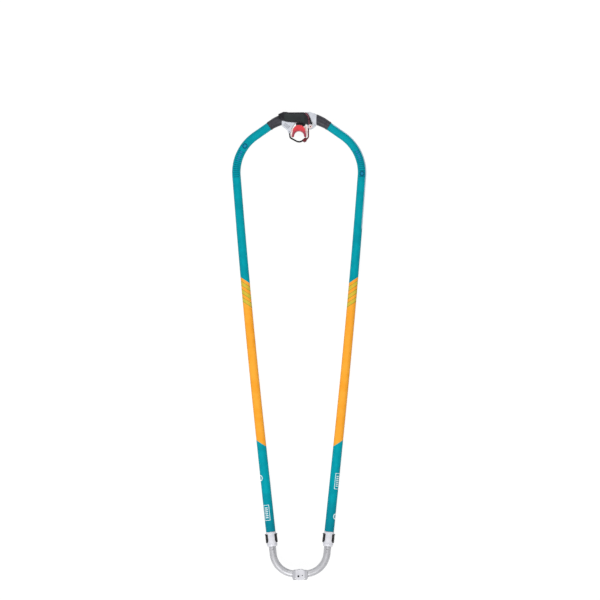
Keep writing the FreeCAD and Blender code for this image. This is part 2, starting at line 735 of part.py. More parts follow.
def jaw_outline():
    """The jaw seen from above: an arch round the front of the mast, with straight flared sides down to its lips."""
    outer, centre = SIZE["jaw_outer_radius"], SIZE["jaw_arch_centre"]
    inner, lip = SIZE["mast_radius"], -SIZE["jaw_lip_end"]
    mouth = inner + SIZE["jaw_mouth_flare"]
    flare = math.radians(SIZE["jaw_flare"])
    foot_x, foot_y = outer * math.cos(flare), centre + outer * math.sin(flare)
    lip_outer = foot_x + (foot_y - lip) * math.tan(flare)
    return [
        Part.Arc(Vector(foot_x, foot_y, 0), Vector(0, centre + outer, 0), Vector(-foot_x, foot_y, 0)),
        Part.LineSegment(Vector(-foot_x, foot_y, 0), Vector(-lip_outer, lip, 0)),
        Part.LineSegment(Vector(-lip_outer, lip, 0), Vector(-mouth, lip, 0)),
        Part.LineSegment(Vector(-mouth, lip, 0), Vector(-inner, 0, 0)),
        Part.Arc(Vector(-inner, 0, 0), Vector(0, inner, 0), Vector(inner, 0, 0)),
        Part.LineSegment(Vector(inner, 0, 0), Vector(mouth, lip, 0)),
        Part.LineSegment(Vector(mouth, lip, 0), Vector(lip_outer, lip, 0)),
        Part.LineSegment(Vector(lip_outer, lip, 0), Vector(foot_x, foot_y, 0)),
    ]


def mast_jaw(screws):
    body = new_body("jaw_body")
    sketch = new_sketch(body, "jaw_outline")
    sketch.addGeometry(jaw_outline(), False)
    pad(body, "jaw_arch", sketch, "jaw_half_height + jaw_half_height", midplane=True)
    top = flat_at(SIZE["jaw_half_height"])
    outer = SIZE["jaw_outer_radius"]
    round_edges(body, "jaw_round", SIZE["jaw_edge_round"], lambda edge: top(edge) and edge.BoundBox.XLength > 1.9 * outer)
    doc.recompute()
    part(cut("jaw", body, screws), "mast_jaw")
    return body


def jaw_carrier(jaw_body):
    """The block that carries the jaw on the casing, hollowed to the jaw's arch."""
    body = new_body("carrier_body")
    sketch = outline_sketch(body, "carrier_outline", CARRIER_OUTLINE)
    pad(body, "carrier_block", sketch, "carrier_half_height + carrier_half_height", midplane=True)
    doc.recompute()
    part(cut("carrier", body, jaw_body), "jaw_carrier")


def jaw_cheek(name, outline, jaw_and_screws):
    """A pale pad that fits against one side of the jaw."""
    body = new_body(f"{name}_body")
    sketch = outline_sketch(body, f"{name}_outline", outline)
    pad(body, f"{name}_plate", sketch, "cheek_half_height + cheek_half_height", midplane=True)
    doc.recompute()
    part(cut(f"{name}_cut", body, jaw_and_screws), name)


def jaw_screws():
    """Two screws through each cheek into the jaw, with their heads on the cheek's outside."""
    solids = []
    for name, face, way in (("left", LEFT_CHEEK_FACE, -1), ("right", RIGHT_CHEEK_FACE, 1)):
        for level in (-JAW_SCREW_LEVEL, JAW_SCREW_LEVEL):
            label = f"jaw_screw_{name}_{'upper' if level > 0 else 'lower'}"
            along = Vector(way, 0, 0)
            seat = Vector(way * face, JAW_SCREW_Y, level)
            tip = Vector(way * JAW_SCREW_TIP, JAW_SCREW_Y, level)
            head = turned_to(f"{label}_head", JAW_SCREW_HEAD_RADIUS, JAW_SCREW_HEAD_HEIGHT, seat, along)
            shank = turned_to(f"{label}_shank", JAW_SCREW_RADIUS, face - JAW_SCREW_TIP, tip, along)
            solids.append(joined(label, [head, shank]))
    return part(grouped("jaw_screw_set", solids), "jaw_screws")


def jaw_group():
    screws = jaw_screws()
    jaw_body = mast_jaw(screws)
    jaw_carrier(jaw_body)
    tools = joined("cheek_tools", [jaw_body, screws])
    jaw_cheek("left_jaw_cheek", LEFT_CHEEK_OUTLINE, tools)
    jaw_cheek("right_jaw_cheek", RIGHT_CHEEK_OUTLINE, tools)


# ---------------------------------------------------------------- lever and strap


def lever():
    """A wide channel that wraps the casing from the front, with a knuckle above and below the ears."""
    body = new_body("lever_body")
    blade = outline_sketch(body, "lever_outline", LEVER_OUTLINE)
    pad(body, "lever_blade", blade, "lever_half_height + lever_half_height", midplane=True)
    round_edges(body, "lever_round", SIZE["lever_edge_round"], flat_at(SIZE["lever_half_height"]))
    hollow = outline_sketch(body, "lever_hollow_outline", LEVER_HOLLOW_OUTLINE)
    pocket(body, "lever_hollow", hollow, "lever_hollow + lever_hollow", midplane=True)
    holes = circle_sketch(body, "lever_holes", "pivot_radius + pivot_play", "pivot_x", "pivot_y")
    add_circle(holes, "hook_radius", "pivot_x - hook_offset", "pivot_y + hook_offset")
    pocket(body, "lever_bores", holes, "lever_half_height + lever_half_height + 2", midplane=True)
    part(body, "lever")


def hook_pin():
    x = SIZE["pivot_x"] - SIZE["hook_offset"]
    y = SIZE["pivot_y"] + SIZE["hook_offset"]
    length = "lever_half_height + lever_half_height - 1"
    start = Vector(x, y, 0.5 - SIZE["lever_half_height"])
    part(cylinder("hook_pin", "hook_radius", start, length), "lever_hook_pin")


def bent(start, corner, end, radius):
    """The middle and both ends of the arc that rounds a corner between two points."""
    back, ahead = (start - corner).normalize(), (end - corner).normalize()
    half = back.getAngle(ahead) / 2
    reach = radius / math.tan(half)
    centre = corner + (back + ahead).normalize() * (radius / math.sin(half))
    middle = centre + (corner - centre).normalize() * radius
    return corner + back * reach, middle, corner + ahead * reach


def strap_line():
    """The strap's middle line: from its anchor round a corner, then round the mast to its moulded end."""
    radius = SIZE["strap_radius"]
    anchor = Vector(SIZE["anchor_x"], SIZE["anchor_y"], 0)
    corner = Vector(SIZE["strap_corner_x"], SIZE["strap_corner_y"], 0)
    meets = math.atan2(corner.y, corner.x) + math.acos(radius / corner.Length)
    ends = math.radians(STRAP_END_ANGLE)

    def on_arc(angle):
        return Vector(radius * math.cos(angle), radius * math.sin(angle), 0)

    entry, middle, leaving = bent(anchor, corner, on_arc(meets), SIZE["strap_corner_radius"])
    return [
        Part.LineSegment(anchor, entry),
        Part.Arc(entry, middle, leaving),
        Part.LineSegment(leaving, on_arc(meets)),
        Part.Arc(on_arc(meets), on_arc((meets + ends) / 2), on_arc(ends)),
    ]


def strip(edges, thickness, half_height):
    """A strip of even thickness that stands on a flat line."""
    line = Part.Wire([edge.toShape() for edge in edges])
    first, last = edges[0], edges[-1]
    profile_at = first.StartPoint
    heading = (first.EndPoint - first.StartPoint).normalize()
    across = Vector(-heading.y, heading.x, 0) * (thickness / 2)
    up = Vector(0, 0, half_height)
    corners = [profile_at + across + up, profile_at - across + up, profile_at - across - up, profile_at + across - up]
    profile = Part.Wire(Part.makePolygon([*corners, corners[0]]))
    return line.makePipeShell([profile], True, False)


def clamp_strap(rivets):
    """The strap with its eye round the anchor pin; returns the strap before its rivet holes."""
    run = strip(strap_line(), SIZE["strap_thickness"], SIZE["strap_half_height"])
    height = 2 * SIZE["strap_half_height"]
    base = Vector(SIZE["anchor_x"], SIZE["anchor_y"], -SIZE["strap_half_height"])
    eye = Part.makeCylinder(SIZE["strap_eye_radius"], height, base)
    hole = Part.makeCylinder(SIZE["anchor_radius"] + SIZE["pivot_play"], height, base)
    feature = doc.addObject("Part::Feature", "strap")
    feature.Shape = run.fuse(eye).cut(hole).removeSplitter()
    part(cut("strap_holed", feature, rivets), "clamp_strap")
    return feature


def strap_group():
    """The strap, and the moulded end that grips it and carries the tension band."""
    body = new_body("strap_end_body")
    sketch = outline_sketch(body, "strap_end_outline", STRAP_END_OUTLINE)
    pad(body, "strap_end_block", sketch, "strap_end_half_height + strap_end_half_height", midplane=True)
    round_edges(body, "strap_end_round", 1.6, flat_at(SIZE["strap_end_half_height"]))
    doc.recompute()
    rivets = strap_rivets()
    tools = joined("strap_end_tools", [clamp_strap(rivets), tension_band(), rivets])
    part(cut("strap_end_cut", body, tools), "strap_end")


def strap_rivets():
    """Two rivets through the strap and its moulded end, square to the mast, above and below the band."""
    angle = math.radians(RIVET_ANGLE)
    along = Vector(math.cos(angle), math.sin(angle), 0)
    solids = []
    for name, level in (("upper", RIVET_LEVEL), ("lower", -RIVET_LEVEL)):
        start = along * RIVET_NEAR + Vector(0, 0, level)
        solids.append(turned_to(f"strap_rivet_{name}", RIVET_RADIUS, RIVET_LENGTH, start, along))
    return part(grouped("strap_rivet_set", solids), "strap_rivets")


def tension_band():
    """The band from the strap end to the lever's hook pin, with an open cradle under the pin."""
    x = SIZE["pivot_x"] - SIZE["hook_offset"]
    y = SIZE["pivot_y"] + SIZE["hook_offset"]
    low = -SIZE["band_half_height"]
    foot, turn = Vector(*BAND_FOOT, 0), Vector(x, BAND_TURN_Y, 0)
    top = Vector(x, y - CRADLE_DEPTH + 1, 0)
    entry, middle, leaving = bent(foot, turn, top, BAND_TURN_RADIUS)
    edges = [Part.LineSegment(foot, entry), Part.Arc(entry, middle, leaving), Part.LineSegment(leaving, top)]
    run = strip(edges, SIZE["band_thickness"], SIZE["band_half_height"])
    base = Vector(x - CRADLE_WIDTH / 2, y - CRADLE_DEPTH, low)
    cradle = Part.makeBox(CRADLE_WIDTH, CRADLE_DEPTH - CRADLE_LIP_DROP, -2 * low, base)
    room = Part.makeCylinder(SIZE["hook_radius"] + CRADLE_GAP, -2 * low, Vector(x, y, low))
    feature = doc.addObject("Part::Feature", "band")
    feature.Shape = run.fuse(cradle).cut(room).removeSplitter()
    return part(feature, "tension_band")


# ---------------------------------------------------------------- collars and clips


def revolved_ring(name, side, profile):
    """A ring turned about the leg's axis, from radius and station pairs."""
    body = new_body(f"{name}_ring")
    sketch = new_sketch(body, f"{name}_profile", "0", "XZ_Plane")
    points = [Vector(radius, station, 0) for radius, station in profile]
    lines = [Part.LineSegment(a, b) for a, b in zip(points, points[1:] + points[:1])]
    sketch.addGeometry(lines, False)
    turn = body.newObject("PartDesign::Revolution", f"{name}_turn")
    turn.Profile = sketch
    turn.ReferenceAxis = (sketch, ["V_Axis"])
    turn.Angle = 360
    body.Placement = leg_place(side, 0)
    return body


def collar_profile():
    start = SIZE["collar_start"]
    ring_end = start + SIZE["collar_ring_length"]
    end = start + SIZE["collar_length"]
    lip = end - SIZE["collar_lip"]
    nose = end - SIZE["collar_nose_length"]
    bore = SIZE["tube_rear_radius"]
    return [
        (bore, start),
        (SIZE["collar_ring_radius"] - 0.8, start),
        (SIZE["collar_ring_radius"], start + 0.8),
        (SIZE["collar_ring_radius"], ring_end - 0.8),
        (SIZE["collar_radius"], ring_end),
        (SIZE["collar_radius"], nose),
        (SIZE["collar_nose_radius"], end),
        (SIZE["collar_mouth_radius"], end),
        (SIZE["collar_mouth_radius"], lip),
        (bore, lip),
    ]


def collar(name, side, pins):
    """The collar with lugs for the clips' hinge pins, knuckle hollows and lock-pin holes."""
    place = leg_place(side, 0)
    ring = revolved_ring(f"{name}_collar", side, collar_profile())
    lugs, hollows, tools = [], [], [*pins]
    for clip, hand in CLIP_SIDES.items():
        near, far = ("lug_foot", "hinge_x") if hand > 0 else ("- hinge_x", "- lug_foot")
        low_corner = (near, "- lug_half_width", "hinge_station - lug_radius")
        high_corner = (far, "lug_half_width", "hinge_station + lug_radius")
        lugs.append(box(f"{name}_{clip}_lug", low_corner, high_corner, place))
        lug_start = Vector(hand * SIZE["hinge_x"], -SIZE["lug_half_width"], SIZE["hinge_station"])
        lug_length = "lug_half_width + lug_half_width"
        lugs.append(cylinder(f"{name}_{clip}_lug_eye", "lug_radius", lug_start, lug_length, place, ACROSS))
        hollow_start = Vector(hand * SIZE["hinge_x"], -SIZE["clip_knuckle_half"] - SIZE["clip_gap"],
                              SIZE["hinge_station"])
        hollow_length = "clip_knuckle_half + clip_knuckle_half + clip_gap + clip_gap"
        hollow = cylinder(f"{name}_{clip}_hollow", "clip_knuckle_radius + 0.4", hollow_start,
                          hollow_length, place, ACROSS)
        hole_start = Vector(0, 0, SIZE["lock_station"])
        hole = cylinder(f"{name}_{clip}_lock_hole", "lock_hole_radius", hole_start, "clip_radius",
                        place, Vector(hand, 0, 0))
        hollows.append(hollow)
        tools.append(hole)
    hollowed = cut(f"{name}_collar_hollowed", ring, joined(f"{name}_collar_hollows", hollows))
    solid = joined(f"{name}_collar_solid", [hollowed, *lugs])
    part(cut(f"{name}_collar_cut", solid, joined(f"{name}_collar_tools", tools)), f"{name}_collar")


def collar_liner(name, side):
    """The plastic bush that the tail leg runs in, between the arm tube's end and the collar's lip."""
    start = SIZE["tube_end"]
    end = SIZE["collar_start"] + SIZE["collar_length"] - SIZE["collar_lip"]
    outer, inner = SIZE["tube_rear_radius"], SIZE["liner_bore_radius"]
    profile = [(inner, start), (outer, start), (outer, end), (inner, end)]
    part(revolved_ring(f"{name}_liner", side, profile), f"{name}_collar_liner")


def hinge_pins(name, side):
    """The two clip hinge pins of one collar."""
    place = leg_place(side, 0)
    pins = []
    for clip, hand in CLIP_SIDES.items():
        start = Vector(hand * SIZE["hinge_x"], -SIZE["hinge_half_length"], SIZE["hinge_station"])
        length = "hinge_half_length + hinge_half_length"
        pins.append(cylinder(f"{name}_{clip}_hinge_pin", "hinge_radius", start, length, place, ACROSS))
    return pins


def clip_and_pin(name, side, clip, hand):
    """A saddle clip on one side of the collar, and the lock pin pressed into it."""
    place = leg_place(side, 0)
    label = f"{name}_{clip}"
    start = Vector(0, 0, SIZE["clip_start"])
    outer = cylinder(f"{label}_clip_outer", "clip_radius", start, "clip_length", place)
    inner = cylinder(f"{label}_clip_inner", "collar_radius + clip_gap", start, "clip_length", place)
    shell = cut(f"{label}_clip_shell", outer, inner)
    trimmed = doc.addObject("Part::Common", f"{label}_clip_trimmed")
    trimmed.Base = shell
    trimmed.Tool = clip_window(label, place, hand)
    knuckle_start = Vector(hand * SIZE["hinge_x"], -SIZE["clip_knuckle_half"], SIZE["hinge_station"])
    knuckle_length = "clip_knuckle_half + clip_knuckle_half"
    knuckle = cylinder(f"{label}_clip_knuckle", "clip_knuckle_radius", knuckle_start,
                       knuckle_length, place, ACROSS)
    near, far = "clip_notch_depth", "clip_radius + clip_notch_margin"
    if hand < 0:
        near, far = "- clip_radius - clip_notch_margin", "- clip_notch_depth"
    low_corner = (near, "- lug_half_width - clip_gap", "clip_start - clip_notch_lead")
    high_corner = (far, "lug_half_width + clip_gap", "hinge_station + lug_radius + clip_gap")
    notch = box(f"{label}_clip_notch", low_corner, high_corner, place)
    bore_start = Vector(hand * SIZE["hinge_x"], -SIZE["clip_half_width"], SIZE["hinge_station"])
    bore_length = "clip_half_width + clip_half_width"
    bore = cylinder(f"{label}_clip_bore", "hinge_radius + pivot_play", bore_start, bore_length, place, ACROSS)
    pin = lock_pin(label, place, hand)
    solid = joined(f"{label}_clip_solid", [trimmed, knuckle])
    tools = joined(f"{label}_clip_tools", [notch, bore, pin])
    part(cut(f"{label}_clip_cut", solid, tools), f"{label}_clip")


def clip_window(label, place, hand):
    """A rounded block that gives the clip its outline when seen from the side."""
    half, begin = SIZE["clip_half_width"], SIZE["hinge_station"]
    end, corner = SIZE["clip_start"] + SIZE["clip_length"], SIZE["clip_corner"]
    outline = [(-half, begin, 0.0), (half, begin, 0.0), (half, end, corner), (-half, end, corner)]
    window = doc.addObject("Part::Feature", f"{label}_clip_window")
    wire = Part.Wire([edge.toShape() for edge in rounded_outline(outline)])
    face = Part.Face(wire)
    solid = face.extrude(Vector(0, 0, 2 * SIZE["clip_radius"]))
    turn = Rotation(Vector(0, 1, 0), Vector(0, 0, 1), Vector(1, 0, 0), "ZXY")
    window.Shape = solid
    window.Placement = place * Placement(Vector(0 if hand > 0 else -2 * SIZE["clip_radius"], 0, 0), turn)
    return window


def lock_pin(label, place, hand):
    """A round pin from the clip toward the leg, which stops just short of it."""
    start = Vector(hand * SIZE["lock_tip"], 0, SIZE["lock_station"])
    pin = cylinder(f"{label}_lock", "lock_radius", start, "clip_radius - lock_tip - 0.4", place, Vector(hand, 0, 0))
    return part(pin, f"{label}_lock_pin")


def collar_group(name, side):
    pins = hinge_pins(name, side)
    collar(name, side, pins)
    collar_liner(name, side)
    for clip, hand in CLIP_SIDES.items():
        clip_and_pin(name, side, clip, hand)
    return pins


# ---------------------------------------------------------------- the tail


def tail_route(side):
    """A tail tube's axis: up the leg's line, round the tail bend, and into the end fitting."""
    place = leg_place(side, SIZE["leg_start"])
    run = place.Rotation.multVec(Vector(0, 0, 1))
    heading = -90 - SIZE["leg_angle"]
    route = Route(side, side * place.Base.x, place.Base.y, heading)
    turn = 90 - SIZE["leg_angle"]
    corner_drop = route.y + SIZE["tail_bottom"]
    tangent = SIZE["tail_bend_radius"] * math.tan(math.radians(turn) / 2)
    route.straight(corner_drop / -run.y - tangent)
    bend_foot = side * place.Base.x + run.x * side * corner_drop / -run.y - tangent
    rest = math.degrees(math.asin((SIZE["tail_gap"] - bend_foot) / SIZE["tail_bend_radius"]))
    return route.bend(SIZE["tail_bend_radius"], turn - rest)


def tail_tube(name, side):
    """Half of the tail tube, with adjustment holes on both sides of its leg."""
    place = leg_place(side, 0)
    first = (leg_place(side, SIZE["leg_start"]).Base, place.Rotation.multVec(Vector(0, 0, 1)))
    route = tail_route(side)
    outside = tapered(f"{name}_tail_outside", route, "leg_radius", "leg_radius", first)
    inside = tapered(f"{name}_tail_inside", tail_route(side), "leg_bore_radius", "leg_bore_radius", first)
    holes = [inside]
    station = SIZE["lock_station"]
    while station > SIZE["leg_start"] + SIZE["plug_length"] + SIZE["leg_hole_pitch"] / 2:
        hole_start = Vector(-SIZE["collar_radius"], 0, station)
        hole_name = f"{name}_leg_hole_{len(holes)}"
        length = "collar_radius + collar_radius"
        holes.append(cylinder(hole_name, "leg_hole_radius", hole_start, length, place, Vector(1, 0, 0)))
        station -= SIZE["leg_hole_pitch"]
    part(cut(f"{name}_tail_cut", outside, joined(f"{name}_tail_tools", holes)), f"{name}_tail_tube")
    plug_start = Vector(0, 0, SIZE["leg_start"])
    part(cylinder(f"{name}_plug", "leg_bore_radius", plug_start, "plug_length", place), f"{name}_leg_plug")


def fitting_half(name, upper, tools):
    """One half of the end fitting, split at mid-height."""
    body = new_body(f"{name}_body")
    base = "0" if upper else "- fitting_half_height"
    sketch = outline_sketch(body, f"{name}_outline", FITTING_OUTLINE, base)
    pad(body, f"{name}_block", sketch, "fitting_half_height")
    round_edges(body, f"{name}_round", 1.8, flat_at(SIZE["fitting_half_height"]))
    doc.recompute()
    part(cut(f"{name}_cut", body, tools), name)


def fitting_tools(axle, screws):
    """The fitting's bore, its open front, the roller's slot, the outhaul eyes and the fasteners."""
    bottom = -SIZE["tail_bottom"]
    bore = cylinder("fitting_bore", "fitting_bore_radius", Vector(-40, bottom, 0), "80", None, Vector(1, 0, 0))
    tools = [bore, axle, screws]
    for name, low, high in (("left", "- 40", "- fitting_wall_half"), ("right", "fitting_wall_half", "40")):
        low_corner = (low, "- tail_bottom", "- fitting_slot_half")
        high_corner = (high, "- tail_bottom + 30", "fitting_slot_half")
        tools.append(box(f"fitting_{name}_front", low_corner, high_corner))
    low_corner = ("- roller_slot_half_width", "- tail_bottom - 24", "- roller_slot_half_height")
    high_corner = ("roller_slot_half_width", "- tail_bottom - fitting_bore_radius + 2", "roller_slot_half_height")
    tools.append(box("roller_slot", low_corner, high_corner))
    for name, side in SIDES.items():
        start = Vector(side * SIZE["eye_x"], SIZE["eye_y"], -20)
        tools.append(cylinder(f"{name}_outhaul_eye", "eye_radius", start, "40"))
    return joined("fitting_tools", tools)


def fitting_screws():
    """A large and a small screw, let into the top of the fitting, and the same below."""
    solids = []
    depth = SIZE["fitting_half_height"] - FITTING_SCREW_DEPTH
    for name, x, y, radius in FITTING_SCREWS:
        for level, way in (("upper", 1), ("lower", -1)):
            label = f"fitting_screw_{name}_{level}"
            solids.append(turned_to(label, radius, FITTING_SCREW_HEIGHT, Vector(x, y, way * depth), UP * way))
    return part(grouped("fitting_screw_set", solids), "fitting_screws")


def outhaul_roller():
    """The roller that the outhaul line turns on."""
    body = new_body("roller_body")
    sketch = circle_sketch(body, "roller_outline", "roller_radius", "0", "eye_y")
    add_circle(sketch, "axle_radius + pivot_play", "0", "eye_y")
    pad(body, "roller_disc", sketch, "roller_half_height + roller_half_height", midplane=True)
    part(body, "outhaul_roller")


def tail_group():
    for name, side in SIDES.items():
        tail_tube(name, side)
    start = Vector(0, SIZE["eye_y"], -SIZE["axle_half_length"])
    axle = part(cylinder("axle", "axle_radius", start, "axle_half_length + axle_half_length"), "roller_axle")
    tools = fitting_tools(axle, fitting_screws())
    fitting_half("tail_fitting_upper", True, tools)
    fitting_half("tail_fitting_lower", False, tools)
    outhaul_roller()


# ---------------------------------------------------------------- the whole boom


def build():
    outsides = []
    for name, side in SIDES.items():
        outside = arm_tube(name, side)
        grip(name, side, outside)
        front_sleeve(name, side, outside)
        outsides.append(outside)
    front_joiner()
    fasteners = [head_screws(), pivot_screws(), anchor_pin()]
    tools = casing_tools(outsides, fasteners)
    casing_shell("upper_head_shell", True, tools)
    casing_shell("lower_head_shell", False, tools)
    pivot_caps()
    jaw_group()
    lever()
    hook_pin()
    strap_group()
    pins = [pin for name, side in SIDES.items() for pin in collar_group(name, side)]
    part(grouped("hinge_pin_set", pins), "clip_hinge_pins")
    tail_group()
    doc.recompute()


def check_document():
    """Stops if any object failed or any sub-part is not a valid solid."""
    for thing in doc.Objects:
        if "Invalid" in thing.State or "Error" in thing.State:
            raise SystemExit(f"{thing.Name} ({thing.Label}) failed: {thing.State}")
    for thing in PARTS:
        if thing.Shape.isNull() or not thing.Shape.isValid() or not thing.Shape.Solids:
            raise SystemExit(f"{thing.Label} has no valid solid")


def export():
    os.makedirs("parts", exist_ok=True)
    for thing in PARTS:
        thing.Shape.exportStep(f"parts/{thing.Label}.step")
        print(f"{thing.Label}: {len(thing.Shape.Solids)} solid(s), {thing.Shape.Volume:.0f} mm3")


build()
check_document()
export()
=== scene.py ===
"""Looks of the wishbone boom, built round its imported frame. Metres, in the part's own frame.

+X is to the right, +Y points ahead of the mast, and +Z is up along the mast.
Each piece is made in mesh code, rides on a body of the frame, and has a node material.
"""

import bisect
import json
import math

import bmesh
import bpy
from mathutils import Matrix, Vector, noise


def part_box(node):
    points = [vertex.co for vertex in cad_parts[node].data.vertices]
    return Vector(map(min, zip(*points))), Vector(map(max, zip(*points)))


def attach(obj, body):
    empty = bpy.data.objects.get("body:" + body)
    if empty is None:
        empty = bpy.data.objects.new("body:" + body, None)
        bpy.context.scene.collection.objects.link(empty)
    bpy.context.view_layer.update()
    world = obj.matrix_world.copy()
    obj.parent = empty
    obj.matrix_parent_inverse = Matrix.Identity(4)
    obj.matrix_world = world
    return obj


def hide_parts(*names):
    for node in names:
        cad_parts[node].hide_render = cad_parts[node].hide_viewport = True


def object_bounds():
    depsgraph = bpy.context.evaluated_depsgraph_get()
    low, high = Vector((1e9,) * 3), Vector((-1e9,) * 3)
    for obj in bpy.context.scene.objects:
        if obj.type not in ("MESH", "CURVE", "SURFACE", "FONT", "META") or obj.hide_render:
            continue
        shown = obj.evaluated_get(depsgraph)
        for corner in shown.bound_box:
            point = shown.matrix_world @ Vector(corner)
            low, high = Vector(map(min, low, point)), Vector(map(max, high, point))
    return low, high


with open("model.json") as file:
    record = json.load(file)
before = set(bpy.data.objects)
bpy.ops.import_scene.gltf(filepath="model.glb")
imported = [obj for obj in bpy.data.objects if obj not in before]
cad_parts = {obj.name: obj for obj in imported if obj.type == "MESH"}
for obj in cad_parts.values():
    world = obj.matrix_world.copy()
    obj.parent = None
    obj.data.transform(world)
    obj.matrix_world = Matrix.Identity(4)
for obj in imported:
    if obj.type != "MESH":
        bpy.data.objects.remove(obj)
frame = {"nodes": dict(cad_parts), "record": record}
CAD_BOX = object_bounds()

SIDES = {"left": -1, "right": 1}
CLIP_SIDES = {"inner": -1, "outer": 1}

# The arm's line, from the start of its front bend to the straight leg.
FRONT_HEIGHT = 0.06125
FRONT_BEND_START = 0.0205
FRONT_BEND = (0.1575, 34.9)
SHOULDER = 0.0562
BIG_BEND = (0.159, 59.45)
BOW = (32.4, 1.6)
LEG_LENGTH = 0.45

# The sleeve and the grip along that line, and the clips' outside.
SLEEVE_INNER_X = 0.0626
SLEEVE_END_TURN = 33.3
GRIP_LEG_END = 0.373
GRIP_RADII = (0.015, 0.017)
SLEEVE_RADII = (0.0189, 0.0156)
SLEEVE_RISE = 0.0034
CLIP_RADIUS = 0.021

# Printed zones of the grips, and where a painted highlight along their outer edge ends: places are distances
# behind the mast axis, at the middle of the arm.
SLANT = 0.8
ORANGE_ZONE = (0.5145, 1.0975)
HATCH_BANDS = [(0.527, 0.544), (0.556, 0.573), (0.585, 0.602)]
TONAL_ZONE = (0.052, 0.147)
REAR_FADE = (1.25, 1.43)
EDGE_HIGHLIGHT_END = 0.33

# The head.
JAW_INNER = 0.0175
JAW_OUTER = 0.022
JAW_ARCH_CENTRE = 0.0175
JAW_FLARE = math.radians(10.3)
JAW_HALF_HEIGHT = 0.042
JAW_LIP_Y = -0.0035
JAW_MOUTH = 0.0205
JAW_FLUTES = 22
JAW_FLUTE_DEPTH = 0.0007
JAW_SCREW_LEVEL = 0.014
JAW_SCREW_Y = 0.014
LEVER_HALF_HEIGHT = 0.032
PIVOT = (0.0404, 0.0336)
ANCHOR = (-0.034, 0.0145)
STRAP_CORNER = (-0.0324, -0.0053)
STRAP_CORNER_RADIUS = 0.010
STRAP_RADIUS = 0.020
STRAP_HALF_HEIGHT = 0.021
STRAP_THICKNESS = 0.0048
STRAP_END_ANGLE = math.radians(-38.0)
RIVET_ANGLE = math.radians(-44.0)
RIVET_FAR_END = 0.0304

# The tail's end.
EYE_Y = -1.5818
FITTING_TOP = 0.0165
FITTING_SCREW_SEAT = 0.0141


# ---------------------------------------------------------------- node materials


def shade(red, green, blue):
    """A colour given as it shows on a screen, 0 to 255, as the numbers that a shader takes."""
    values = []
    for part in (red, green, blue):
        part /= 255
        values.append(part / 12.92 if part <= 0.04045 else ((part + 0.055) / 1.055) ** 2.4)
    return (*values, 1.0)


def feed(tree, entry, value):
    """Gives a socket a number, a colour or a field."""
    if isinstance(value, Field):
        tree.links.new(value.socket, entry)
    else:
        entry.default_value = value


class Field:
    """A number or colour that varies over a surface; numbers take ordinary arithmetic."""

    def __init__(self, tree, socket):
        self.tree = tree
        self.socket = socket

    def work(self, operation, *others):
        node = self.tree.nodes.new("ShaderNodeMath")
        node.operation = operation
        for entry, value in zip(node.inputs, (self, *others)):
            feed(self.tree, entry, value)
        return Field(self.tree, node.outputs[0])

    def __add__(self, other):
        return self.work("ADD", other)

    def __sub__(self, other):
        return self.work("SUBTRACT", other)

    def __mul__(self, other):
        return self.work("MULTIPLY", other)

    def __truediv__(self, other):
        return self.work("DIVIDE", other)

    def wave(self, pitch):
        """Goes up and down between -1 and 1 once in each pitch."""
        return (self * (2 * math.pi / pitch)).work("SINE")

    def repeat(self, pitch):
        """How far along its pitch each place is, from 0 to the pitch."""
        return (self / pitch).work("FRACT") * pitch

    def ramp(self, low, high):
        """Rises smoothly from 0 at low to 1 at high."""
        node = self.tree.nodes.new("ShaderNodeMapRange")
        node.interpolation_type = "SMOOTHSTEP"
        feed(self.tree, node.inputs["Value"], self)
        node.inputs["From Min"].default_value = low
        node.inputs["From Max"].default_value = high
        return Field(self.tree, node.outputs["Result"])

    def band(self, low, high, soft=0.0002):
        """1 between low and high and 0 outside, with soft edges."""
        return self.ramp(low - soft, low + soft) * self.ramp(high + soft, high - soft)

    def edge(self, low, high, width):
        """1 on both borders of the band between low and high."""
        return self.band(low, high) - self.band(low + width, high - width)


